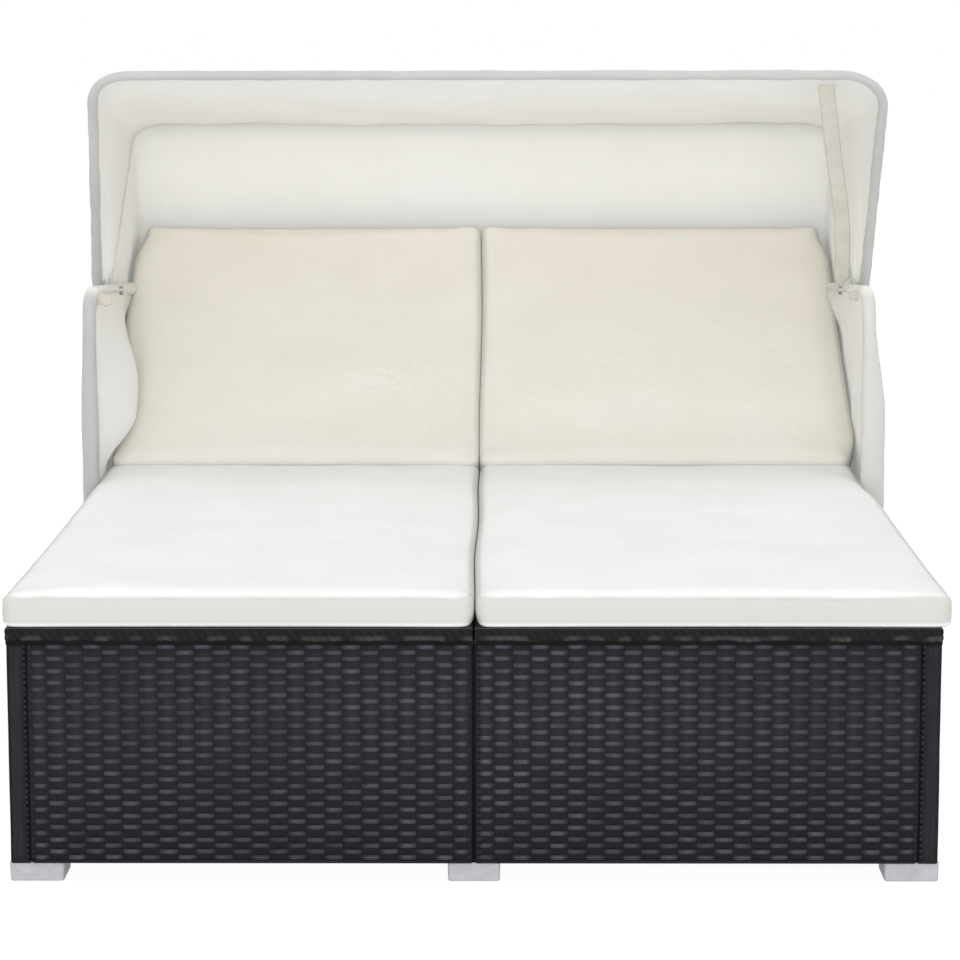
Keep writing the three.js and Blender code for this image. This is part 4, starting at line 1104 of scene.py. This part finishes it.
# Share of the greyer tone painted as shade on the back cushions' walls and beside their top seams.
BACK_WALL_SHADE = 0.62
BACK_BULGE = 0.017
BACK_PRESS = 0.0011
back_turn = Matrix.Translation(joints["backrest_fold_left"]["pos_m"]) @ Matrix.Rotation(BACK_SLOPE, 4, "X")

for side, sign in (("left", -1), ("right", 1)):
    low, high = record_boxes["back_cushion_" + side]

    def bulge(points, size, sign=sign):
        """The outer side swells by 17 mm where the cushion presses on the side cloth: nearly all the way up on the
        right, and in the upper half on the left."""
        share = points[:, 1] / size[1] + 0.5
        start, rise = (0.0, 0.12) if sign > 0 else (0.35, 0.25)
        along = smooth_step((share - start) / rise)
        points[:, 0] += sign * BACK_BULGE * beside(points, size, sign) * along * smooth_step((0.98 - share) / 0.14)
        return close_seam(points, size, sign, BACK_PRESS)

    make_cushion(
        "cushion_back_" + side, (low.x, *BACK_LOW), (high.x, *BACK_HIGH), BACK_CROWN, 61 + sign,
        "backrest_" + side, "back_cushion_" + side, BACK_CLOTH_PAINTED_LIGHT, (BACK_WALL_SHADE, back_painted_shade), bulge, back_turn,
    )

# %% [markdown]
# ## The hood's lines
# Both bows are U-shaped and turn on one pair of bolts. A line of the hood is such a U: up the right leg, round a
# corner, along the bar and down the left leg, given as a side distance and a reach from the bolts. In the
# photograph the front bow leans to the right, by 17 mm at its bar, so a lean that grows with the reach is added.

# %% Lines of the hood
pivot_y, pivot_z = joints["rear_bow_fold"]["pos_m"][1:]
FRONT_ANGLE = math.radians(-41)
REAR_ANGLE = math.radians(56)
BOW_REACH = 0.522
BOW_PLANE = 0.6798
BOW_CORNER = 0.065
FRONT_LEAN = 0.017
REAR_LEAN = 0.002
FRONT_CORNER = 0.080
LEFT_CORNER_POWER = 0.72
FRONT_FOOT, FRONT_TOP = 0.690, 0.6695
SLEEVE_RADIUS = 0.0090
LEG_STEPS, CORNER_STEPS, BAR_STEPS = 24, 12, 76
CLOTH_THICKNESS = 0.0012


def sleeve_out(reach):
    """How far out the front sleeve stands on the legs: its cloth hangs off the bow towards the bolts."""
    return FRONT_FOOT - (FRONT_FOOT - FRONT_TOP) * reach / (BOW_REACH - BOW_CORNER)


def u_line(foot_half, half, foot, reach, corner, left=1.0):
    """Side distance, reach and share of bar (0 on the legs, 1 on the bar) along a U with quarter-circle corners. On
    the left, the circle's sine and cosine are raised to a power, which makes that corner tighter below 1."""
    leg = np.linspace(0, 1, LEG_STEPS, endpoint=False)
    bend = np.linspace(0, math.pi / 2, CORNER_STEPS, endpoint=False)
    bar = np.linspace(1, 0, BAR_STEPS // 2 + 1)
    top = reach - corner
    share = np.concatenate([0 * leg, np.sin(bend) ** 2, np.ones(len(bar))])
    halves = []
    for power in (1.0, left):
        x = np.concatenate([
            foot_half + (half - foot_half) * leg, half - corner * (1 - np.cos(bend) ** power), (half - corner) * bar,
        ])
        r = np.concatenate([
            foot + (top - foot) * leg, top + corner * np.sin(bend) ** power, np.full(len(bar), reach),
        ])
        halves.append((x, r, share))
    (x, r, share), (left_x, left_r, left_share) = halves
    return tuple(
        np.concatenate([right, left[-2::-1]]) for right, left in ((x, -left_x), (r, left_r), (share, left_share))
    )


def in_space(x, reach, angle, lean):
    """Points of a line at an angle about the bolts, leaning sideways in step with the reach."""
    y, z = pivot_y + reach * np.sin(angle), pivot_z + reach * np.cos(angle)
    return np.stack([x + lean * reach / BOW_REACH, y, z], -1)


def surface_normals(grid):
    """Unit normals of a grid of points, from the differences along both directions."""
    normal = np.cross(np.gradient(grid, axis=0), np.gradient(grid, axis=1))
    return normal / np.maximum(np.linalg.norm(normal, axis=-1), 1e-12)[..., None]


def lengths_on(grid, axis):
    """Metres along a grid's rows or columns, starting at 0."""
    step = np.linalg.norm(np.diff(grid, axis=axis), axis=-1)
    return np.concatenate([np.zeros_like(np.take(step, [0], axis)), np.cumsum(step, axis)], axis)


def cloth_sheet(name, grid, material, thickness=CLOTH_THICKNESS, pocket_and_shade=None):
    """A closed sheet: the grid, its copy moved along the normals by the thickness, and a rim that joins them. The
    last argument, where given, is the share of a greyer tone painted as shade."""
    rows, columns = grid.shape[:2]
    size = rows * columns
    other = grid - surface_normals(grid) * np.broadcast_to(thickness, grid.shape[:2])[..., None]
    faces = grid_quads(rows, columns)
    ring = outline_of(rows, columns)
    rim = np.stack([ring, ring + size, np.roll(ring, -1) + size, np.roll(ring, -1)], 1)
    faces = np.concatenate([faces, faces[:, ::-1] + size, rim[:, ::-1]])
    along, across = lengths_on(grid, 1).ravel(), lengths_on(grid, 0).ravel()
    values = {"along": np.tile(along, 2), "across": np.tile(across, 2)}
    if pocket_and_shade is not None:
        values["pocket_and_shade"] = np.tile(pocket_and_shade.ravel(), 2)
    points = np.concatenate([grid.reshape(-1, 3), other.reshape(-1, 3)])
    return make_object(name, points, faces.tolist(), material, values=values)


def declare_sheet(grid):
    """Works out the cut cloth's longest row and column, and does nothing further with them."""
    width = round(float(lengths_on(grid, 1)[:, -1].max()), 3)
    length = round(float(lengths_on(grid, 0)[-1].max()), 3)


print("bows turn about y", round(pivot_y, 4), "z", round(pivot_z, 4))

# %% [markdown]
# ## The roof and the rear panel
# The cloth is one continuous skin that is sewn to the bows. The front part runs from the front bow's sleeve over
# the roof and down both sides to the bolts. The rear part runs on from the rear bow to the side rails and the
# rear edge. Straight lines between the bows give the stretched shape, the roof sags a little between them, and
# fine ripples fan out from the bolts. At the rear bow the cloth passes inside the tube, so that only the seam
# shows from within, wavy as in the photograph.
#
# When a bow turns, each point of the cloth would turn by a share between its two bodies. A linear share would let
# the backs cut through when they are raised. So shares are worked out by which the front part of the roof goes with
# the front bow and the rest folds into a belly before the rear bow, and the rear part keeps its slack over the backs'
# top edges. They are not applied, and neither sheet is attached to a bow.

# %% Stretch the hood
ROOF_SAG = 0.012
SIDE_HOLLOW = 0.006
REAR_HOLLOW = 0.012
ROOF_ROWS = 44
REAR_ROWS = 28
ROOF_FOLLOWS = 0.8
REAR_SLACK = 1.7
OVER_SLEEVE = 0.004
FRONT_START = 0.012
SEAM_HALF, SEAM_CORNER = 0.6675, 0.062
SEAM_REACH = BOW_REACH - 0.0155
RAIL_FRONT_Z, RAIL_REAR_Z, RAIL_RUN = 0.731, 0.653, 0.948
EDGE_HALF, EDGE_CORNER, EDGE_PAST_POST = 0.6725, 0.04, 0.0118
EDGE_START = 0.05


def down_rows(rows):
    """Shares from 0 to 1 down the rows of a sheet, as a column."""
    return np.linspace(0, 1, rows)[:, None]


def hood_skin(first, last, sag, hollow, rows, seed):
    """Cloth between two lines of points: a straight blend from one to the other, then a sag of 4v(1 - v) towards
    the bolts on the bar's part and towards the middle on the legs' part, and ripples that fan out from the feet."""
    (near, near_share), (far, far_share) = first, last
    v = down_rows(rows)
    grid = near[None] * (1 - v[..., None]) + far[None] * v[..., None]
    share = near_share[None] * (1 - v) + far_share[None] * v
    depth = 4 * v * (1 - v)
    away = grid - np.array([0, pivot_y, pivot_z])
    away[..., 0] = 0
    reach = np.linalg.norm(away, axis=-1)
    away /= np.maximum(reach, 1e-6)[..., None]
    grid = grid - away * (sag * depth * share)[..., None]
    eased = near[None, :, 0] + (far - near)[None, :, 0] * smooth_step(v)
    grid[..., 0] = eased * (1 - share) + grid[..., 0] * share
    grid[..., 0] -= np.sign(grid[..., 0]) * hollow * depth**2 * (1 - share) * smooth_step(reach / 0.25)
    turn = np.arctan2(away[..., 1], away[..., 2])
    fan = np.sin(turn * 26 + np.sign(grid[..., 0])) * np.exp(-reach / 0.16) * 0.0022 * (1 - share)
    cloud = soft_noise(grid, 0.32, seed) * 0.0016 * depth**0.5
    grid += surface_normals(grid) * (cloud + fan * depth)[..., None]
    return grid


def seam_wave(x):
    """How far the seam hangs off the rear bow: 5 mm in the middle of the bar, and two waves along it."""
    return 0.005 * (1 - (x / 0.62) ** 2).clip(0) + 0.0022 * np.sin(x * 21 + 0.6) + 0.0012 * np.sin(x * 47)


def turn_weights(grid, weight):
    """Spreads a weight over the points of a sheet, and does nothing further with it."""
    weight = np.broadcast_to(weight, grid.shape[:2]).ravel()


front_x, front_r, front_share = u_line(
    sleeve_out(FRONT_START) + OVER_SLEEVE, sleeve_out(BOW_REACH - FRONT_CORNER) + OVER_SLEEVE, FRONT_START,
    BOW_REACH + OVER_SLEEVE, FRONT_CORNER + 0.002, LEFT_CORNER_POWER,
)
front_line = in_space(front_x, front_r, FRONT_ANGLE, FRONT_LEAN)
rear_x, rear_r, rear_share = u_line(SEAM_HALF, SEAM_HALF, 0.018, SEAM_REACH, SEAM_CORNER)
wave = seam_wave(rear_x) * rear_share
rear_line = in_space(rear_x, rear_r - wave, REAR_ANGLE, REAR_LEAN)

roof_grid = hood_skin((front_line, front_share), (rear_line, rear_share), ROOF_SAG, SIDE_HOLLOW, ROOF_ROWS, 71)
# Painted shade: greyer along the front edge of the sides, and faintly over the roof.
hem_shade = 0.12 * (1 - front_share[None]) * (1 - smooth_step(down_rows(ROOF_ROWS) / 0.34))
hem_shade = hem_shade + 0.02 * front_share[None]
roof = cloth_sheet("hood_roof", roof_grid, HOOD_CLOTH, pocket_and_shade=hem_shade)
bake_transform(roof)
turn_weights(roof_grid, smooth_step(down_rows(ROOF_ROWS)[::-1] / ROOF_FOLLOWS))
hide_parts("canopy_front")
declare_sheet(roof_grid)

rail_tilt = math.atan((RAIL_REAR_Z - RAIL_FRONT_Z) / RAIL_RUN)
post_rear_y = record_boxes["hood_post_rear_right"][0].y + 0.01
rail_reach = (post_rear_y - pivot_y) / math.cos(rail_tilt) + EDGE_PAST_POST
edge_x, edge_r, edge_share = u_line(EDGE_HALF, EDGE_HALF, EDGE_START, rail_reach, EDGE_CORNER)
edge_line = in_space(edge_x, edge_r, math.pi / 2 - rail_tilt, 0.0)
outer_x, outer_r, _ = u_line(SEAM_HALF, SEAM_HALF, EDGE_START, SEAM_REACH, SEAM_CORNER)
seam_line = in_space(outer_x, outer_r - wave, REAR_ANGLE, REAR_LEAN)
rear_grid = hood_skin((seam_line, rear_share), (edge_line, edge_share), REAR_HOLLOW, 0.001, REAR_ROWS, 73)
# Painted shade just under the rear bow.
under_bow_shade = 0.5 * rear_share[None] * (1 - smooth_step(down_rows(REAR_ROWS) / 0.10))
rear_skin = cloth_sheet("hood_rear", rear_grid, HOOD_CLOTH, pocket_and_shade=under_bow_shade)
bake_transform(rear_skin)
turn_weights(rear_grid, down_rows(REAR_ROWS)[::-1] ** REAR_SLACK)
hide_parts("canopy_rear")
declare_sheet(rear_grid)

# %% [markdown]
# ## Tubes and sleeves
# The front bow sits in a sleeve of the hood's cloth painted greyer as shade, which is the band round the opening of
# the hood. A bow and its sleeve are the same thing to build: an oval profile carried along a U, with its long side
# across the opening.

# %% Carry a profile along a line
TUBE_SIDES = 14
REAR_SLEEVE_RADIUS = 0.0105
BOW_STEP = 0.008
FRONT_SLEEVE_START = -0.014
REAR_SLEEVE_START = 0.075


def swept(path, out, half_out, half_flat, sides=TUBE_SIDES, roughen=0.0, seed=0):
    """An oval carried along a path. out is the direction of the first half axis at every point; the second one is
    square to it and to the path. Returns points, faces and the metres along."""
    tangent = unit(np.gradient(path, axis=0))
    out = unit(out - (out * tangent).sum(1)[:, None] * tangent)
    flat = np.cross(tangent, out)
    angle = np.linspace(0, 2 * math.pi, sides, endpoint=False)[None, :, None]
    half_out = np.broadcast_to(half_out, len(path))[:, None, None]
    half_flat = np.broadcast_to(half_flat, len(path))[:, None, None]
    offset = half_out * np.cos(angle) * out[:, None] + half_flat * np.sin(angle) * flat[:, None]
    points = path[:, None] + offset
    if roughen:
        points = points + unit(offset) * (soft_noise(points, 0.07, seed) * roughen)[..., None]
    return points, tube_faces(len(path), sides), running_length(path)


def resample(path, step):
    """The same line with points at even distances."""
    along = running_length(path)
    count = max(2, round(along[-1] / step) + 1)
    even = np.linspace(0, along[-1], count)
    return np.stack([np.interp(even, along, path[:, k]) for k in range(path.shape[1])], 1)


def bow_path(angle, lean, reach, half_foot, half_top, corner, foot, left=1.0):
    """A bow's middle line in space, at even steps, with the direction away from the opening and the reach from the
    bolts at every point."""
    x, r, _ = u_line(half_foot, half_top, foot, reach, corner, left)
    x, r = resample(np.stack([x, r], 1), BOW_STEP).T
    along_x, along_r = unit(np.gradient(np.stack([x, r], 1), axis=0)).T
    out = np.stack([along_r, -along_x * math.sin(angle), -along_x * math.cos(angle)], 1)
    return in_space(x, r, angle, lean), out, r


def make_sleeve(name, path, out, half_out, half_flat, material, body, nodes_replaced, seed, pocket_and_shade=0.0):
    """A sleeve of cloth along a path, a little uneven, with the measures its material needs."""
    points, faces, along = swept(path, out, half_out, half_flat, roughen=0.0005, seed=seed)
    ring = np.linspace(0, 2 * math.pi * REAR_SLEEVE_RADIUS, points.shape[1])
    values = {
        "along": np.broadcast_to(along[:, None], points.shape[:2]),
        "across": np.broadcast_to(ring[None], points.shape[:2]),
        "pocket_and_shade": np.broadcast_to(np.reshape(pocket_and_shade, (-1, 1)), points.shape[:2]),
    }
    place(make_object(name, points, faces, material, values=values), body, "hood_cloth", *nodes_replaced)


front_path, front_out, front_reach = bow_path(
    FRONT_ANGLE, FRONT_LEAN, BOW_REACH, sleeve_out(FRONT_SLEEVE_START), sleeve_out(BOW_REACH - FRONT_CORNER),
    FRONT_CORNER, FRONT_SLEEVE_START, LEFT_CORNER_POWER,
)
on_bar = smooth_step((front_reach - 0.40) / 0.12)
make_sleeve(
    "front_bow_sleeve", front_path, front_out, SLEEVE_RADIUS - 0.0012 * on_bar, SLEEVE_RADIUS - 0.0009 * on_bar,
    SLEEVE_CLOTH_PAINTED_SHADE, "front_bow", ("front_bow",), 81,
)
rear_path, rear_out, _ = bow_path(
    REAR_ANGLE, REAR_LEAN, BOW_REACH, BOW_PLANE, BOW_PLANE, BOW_CORNER, REAR_SLEEVE_START,
)
make_sleeve(
    "rear_bow_sleeve", rear_path, rear_out, REAR_SLEEVE_RADIUS, REAR_SLEEVE_RADIUS, HOOD_CLOTH, "rear_bow", (), 83,
)
print("sleeves on", len(front_path), "and", len(rear_path), "rings")

# %% [markdown]
# ## The side curtains
# Below the rails, cloth hangs on each side frame in one piece with pockets round both posts and the rail. A sleeve
# carried along the frame makes the round of the pocket, and the curtain is a sheet with two sides that meet some
# way below and behind the tubes, so no edge shows where the pocket ends. A flat sheet would look like card, so it
# hangs in shallow folds. As in the photograph, the left one bellies inwards behind its front post, over the edge
# of the cushions, and the right one's pocket stands out towards its foot. The back cushion lies against the left
# belly; the shares by which that part of the curtain would turn with the left back are worked out but not applied.

# %% Hang the curtains
CURTAIN_BOTTOM = 0.300
CURTAIN_PLANE = 0.6603
RAIL_BEND = 0.06
CURTAIN_ROWS, CURTAIN_COLUMNS = 56, 130
POCKET_FADE = 0.085
# Shares of painted shade on each curtain and at its front post, more on the left.
CURTAIN_SHADE = {"left": 0.24, "right": 0.12}
POCKET_SHADE = {"left": 0.92, "right": 0.67}
BELLY_DEPTH = 0.050
BELLY_LOW = 0.402
BELLY_RIDGE = 0.150
PUSHED_OUT = 0.009
PUSHED_UNTIL = 0.935
POST_STANDS_OUT = 0.012
POCKET_HALF = 0.0113
POCKET_SHEET = 0.0224
front_post_y = record_boxes["hood_post_front_right"][0].y + 0.01


def frame_path(side):
    """The middle line of a side frame: up the front post, along the rail and down the rear post, with round bends."""
    corners = np.array([
        (front_post_y, CURTAIN_BOTTOM), (front_post_y, RAIL_FRONT_Z),
        (post_rear_y, RAIL_REAR_Z), (post_rear_y, CURTAIN_BOTTOM),
    ])
    line = [corners[0]]
    for k in (1, 2):
        to_last, to_next = unit(corners[k - 1] - corners[k]), unit(corners[k + 1] - corners[k])
        trim = RAIL_BEND / math.tan(math.acos(float(to_last @ to_next)) / 2)
        share = np.linspace(0, 1, 13)[:, None]
        start, end = corners[k] + to_last * trim, corners[k] + to_next * trim
        line.append(start * (1 - share) ** 2 + 2 * corners[k] * share * (1 - share) + end * share**2)
    line.append(corners[-1])
    flat = resample(np.vstack(line), 0.009)
    return np.stack([np.full(len(flat), side * CURTAIN_PLANE), flat[:, 0], flat[:, 1]], 1)


def post_shade(y):
    """Painted shade: 1 at the front post, where the cloth is doubled most, falling to a fifth along the rail."""
    return 1 - 0.8 * smooth_step((y - front_post_y - 0.012) / 0.03)


def belly(side, y, z):
    """How far the curtain stands outwards from its plane: folds that deepen downwards, on the left a belly that
    rises behind the front post and falls off steeply before the back cushion, and on both sides a stretch that the
    back cushion pushes out."""
    down = smooth_step((0.70 - z) / 0.40)
    folds = 0.003 * np.sin((y - front_post_y) * 34 + side) * down + 0.0016 * np.sin(y * 71 + z * 9) * down
    behind = y - front_post_y
    out = folds * smooth_step(behind / 0.06) * smooth_step((post_rear_y - y) / 0.06)
    if side < 0:
        ridge = BELLY_RIDGE + (z - BELLY_LOW)
        high = smooth_step((z - BELLY_LOW) / 0.09) * smooth_step((0.72 - z) / 0.17)
        along = smooth_step(behind / ridge) * smooth_step(1 - (behind - ridge) / 0.04)
        pushed = smooth_step((behind - 0.26) / 0.1) * smooth_step((PUSHED_UNTIL - behind) / 0.06)
        return out * (1 - high) - BELLY_DEPTH * high * along + PUSHED_OUT * (pushed * smooth_step((0.72 - z) / 0.06))
    pushed = smooth_step(behind / 0.10) * smooth_step((PUSHED_UNTIL - behind) / 0.08) * smooth_step((0.67 - z) / 0.08)
    post = smooth_step((0.68 - z) / 0.16) * np.exp(-((behind / 0.12) ** 2))
    return out + PUSHED_OUT * pushed + POST_STANDS_OUT * post


for name, side in (("left", -1), ("right", 1)):
    path = frame_path(side)
    if side < 0:
        path = path[::-1]
    low_share = smooth_step((0.68 - path[:, 2]) / 0.16) * (path[:, 1] < front_post_y + 0.02)
    half_across = POCKET_HALF + (0.009 if side > 0 else 0.002) * low_share
    half_along = POCKET_HALF + (0.0026 if side > 0 else 0) * low_share
    moved = path.copy()
    moved[:, 0] += side * (half_across - POCKET_HALF)
    out = np.repeat([[float(side), 0.0, 0.0]], len(path), 0)
    # The side sleeve is painted greyer as shade, most at the front post.
    make_sleeve(
        f"side_sleeve_{name}", moved, out, half_across, half_along, HOOD_CLOTH, "root",
        (f"hood_side_rail_{name}",), 91 + side, POCKET_SHADE[name] * post_shade(path[:, 1]),
    )
    ys = np.linspace(front_post_y, post_rear_y, CURTAIN_COLUMNS)
    top_part = path[np.argsort(path[:, 1])]
    top_part = top_part[top_part[:, 2] > 0.58]
    tops = np.interp(ys, top_part[:, 1], top_part[:, 2])
    share = down_rows(CURTAIN_ROWS)
    z = tops[None] * (1 - share) + CURTAIN_BOTTOM * share
    y = np.broadcast_to(ys[None], z.shape)
    x = side * (CURTAIN_PLANE + belly(side, y, z))
    grid = np.stack([x, y, z], -1)
    grid[..., 0] += soft_noise(grid, 0.3, 95) * 0.0012 * smooth_step(share * 4)
    from_tube = np.minimum(tops[None] - z, np.minimum(y - ys[0], ys[-1] - y))
    pocket_and_shade = 1 - smooth_step(from_tube / POCKET_FADE)
    thickness = CLOTH_THICKNESS + (POCKET_SHEET - CLOTH_THICKNESS) * pocket_and_shade
    grid[..., 0] += thickness / 2
    # Painted shade, greyer towards the tubes and the front post.
    tone = CURTAIN_SHADE[name] + pocket_and_shade * (POCKET_SHADE[name] * post_shade(y) - CURTAIN_SHADE[name])
    curtain = cloth_sheet(f"side_curtain_cloth_{name}", grid, HOOD_CLOTH, thickness, tone)
    if side > 0:
        place(curtain, "root", "hood_cloth", f"side_curtain_{name}")
    else:
        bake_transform(curtain)
        behind = y - front_post_y
        high = smooth_step((z - BELLY_LOW) / 0.17) * smooth_step((0.72 - z) / 0.12) * smooth_step(from_tube / 0.06)
        turn_weights(grid, high * (smooth_step(behind / 0.15) * smooth_step((0.60 - behind) / 0.25)))
        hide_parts(f"side_curtain_{name}")
    declare_sheet(grid)

# %% [markdown]
# The rear curtain closes the frame behind the backs. It hangs straight from the rail's height, with the same
# shallow folds.

# %% Hang the rear curtain
low, high = record_boxes["rear_curtain"]
x, z = np.meshgrid(np.linspace(low.x, high.x, 150), np.linspace(high.z, low.z, 40))
down = smooth_step((high.z - z) / 0.3)
y = high.y + 0.0006 + 0.003 * down * (1 + np.sin(x * 30 + 0.4 * np.sin(z * 14)))
rear_cloth_grid = np.stack([x, y, z], -1)
rear_cloth_grid[..., 1] += np.abs(soft_noise(rear_cloth_grid, 0.25, 97)) * 0.0015 * down
rear_curtain = cloth_sheet("rear_curtain_cloth", rear_cloth_grid[:, ::-1], HOOD_CLOTH)
place(rear_curtain, "root", "hood_cloth", "rear_curtain")
declare_sheet(rear_cloth_grid)

# %% [markdown]
# ## The strap
# A beige webbing strap runs down inside the right side of the hood, from the front bow's bar to near the bolt. It
# ties the hood up when it is folded. It is a flat oval along a curve through points measured on the photograph,
# it hangs a little off the straight line, and it runs out in a point.

# %% Lay the strap
STRAP_HALF_WIDTH, STRAP_HALF_THICKNESS = 0.0135, 0.0011
STRAP_HANG = 0.010
STRAP_TIP = 0.022
STRAP_REACH = np.array([0.499, 0.45, 0.37, 0.30, 0.235, 0.168, 0.10, 0.008])
STRAP_SIDE = np.array([0.584, 0.592, 0.604, 0.6155, 0.6275, 0.6375, 0.6445, 0.6480])
reach = np.linspace(STRAP_REACH[0], STRAP_REACH[-1], 70)
side_x = np.interp(reach, STRAP_REACH[::-1], STRAP_SIDE[::-1])
for _ in range(12):
    side_x[1:-1] = (side_x[:-2] + 2 * side_x[1:-1] + side_x[2:]) / 4
hang = STRAP_HANG * np.sin(np.pi * (STRAP_REACH[0] - reach) / np.ptp(reach))
strap_path = in_space(side_x, reach, FRONT_ANGLE, 0.0)
strap_path[:, 1] += hang * math.cos(FRONT_ANGLE)
strap_path[:, 2] -= hang * math.sin(FRONT_ANGLE)
tip = np.clip((reach - reach[-1]) / STRAP_TIP, 0.06, 1)
across = np.repeat([[1.0, 0, 0]], len(reach), 0)
points, faces, along = swept(strap_path, across, STRAP_HALF_WIDTH * tip, STRAP_HALF_THICKNESS, sides=12)
values = {"along": np.broadcast_to(along[:, None], points.shape[:2])}
strap = make_object("strap_webbing", points, faces, STRAP, values=values)
place(strap, "front_bow", "strap_web", "tie_strap")
print("strap", round(float(along[-1]), 3), "m long")

# %% [markdown]
# ## Small parts
# The feet are moulded blocks with soft edges, slightly narrower at the floor. Two scraps of brown tape, the sewn
# ends inside the side frames' front corners, are small curled sheets. A dark strip closes the joint between the
# two halves of the base, at the front and at the rear.

# %% Feet and joint strips
FOOT_TAPER = 0.0008
FOOT_SPREAD = 0.003
FOOT_BEVEL = 0.0022
FOOT_CORNER = 0.004
TAG_BOXES = (("left", -0.6525, -0.6245, 0.7075, 0.7265), ("right", 0.6285, 0.6425, 0.7165, 0.7300))
TAG_BEHIND_POST = 0.030
TAG_THICKNESS = 0.0014
JOINT_OVERLAP = 0.006
JOINT_DEPTH = 0.0062


def moulded_foot(low, high):
    """Rings of a rounded square up the foot: drawn in at both ends by a quarter round, and tapered to the floor."""
    angles = np.linspace(0, math.pi / 2, 5)
    heights = np.concatenate([FOOT_BEVEL * (1 - np.cos(angles)), high.z - low.z - FOOT_BEVEL * (1 - np.sin(angles))])
    insets = np.concatenate([FOOT_BEVEL * (1 - np.sin(angles)), FOOT_BEVEL * (1 - np.cos(angles))])
    insets = insets + FOOT_TAPER * (1 - heights / heights[-1])
    turn = np.linspace(0, 2 * math.pi, 24, endpoint=False) + math.pi / 24
    circle = np.stack([np.cos(turn), np.sin(turn)], 1)
    half = np.array([high.x - low.x, high.y - low.y]) / 2
    centre = np.array([high.x + low.x, high.y + low.y]) / 2
    rings = []
    for height, inset in zip(heights, insets):
        flat = np.sign(circle) * (half - FOOT_CORNER - inset) + circle * FOOT_CORNER
        rings.append(np.column_stack([flat + centre, np.full(len(flat), low.z + height)]))
    return np.concatenate(rings), tube_faces(len(rings), len(circle))


for name in sorted(nodes):
    if name.startswith("foot_"):
        low, high = (Vector(corner) for corner in record_boxes[name])
        if name.endswith("left"):
            low.x -= FOOT_SPREAD
        if name.endswith("right"):
            high.x += FOOT_SPREAD
        points, faces = moulded_foot(low, high)
        foot = make_object("moulded_" + name, points, faces, FOOT_PLASTIC, smooth=False)
        bevel = foot.modifiers.new("soften", "BEVEL")
        bevel.width = 0.0004
        bevel.limit_method = "ANGLE"
        place(foot, "root", "foot_plastic", name)

for name, x0, x1, z0, z1 in TAG_BOXES:
    across, down = np.meshgrid(np.linspace(x0, x1, 9), np.linspace(z1, z0, 7))
    curl = 0.004 * ((down - z1) / (z1 - z0)) ** 2 + 0.0012 * np.sin((across - x0) * 160)
    tag_y = front_post_y + TAG_BEHIND_POST - curl
    tag_grid = np.stack([across, tag_y, down + 0.0015 * np.sin(across * 300)], -1)
    place(cloth_sheet(f"hood_tag_{name}", tag_grid, TIP_WEB, TAG_THICKNESS), "root", "strap_web")

gap_left, gap_right = record_boxes["front_panel_left"][1].x, record_boxes["front_panel_right"][0].x
for end in ("front", "rear"):
    low, high = record_boxes[f"{end}_panel_left"]
    points, faces = block_points(
        (gap_left - JOINT_OVERLAP, low.y + JOINT_DEPTH, low.z),
        (gap_right + JOINT_OVERLAP, high.y - JOINT_DEPTH, high.z - HIDDEN_INSET), FILLER_BEVEL,
    )
    place(make_object(f"joint_strip_{end}", points, faces, PANEL_CORE), "root", "rattan")
print("feet:", sum(name.startswith("foot_") for name in nodes))
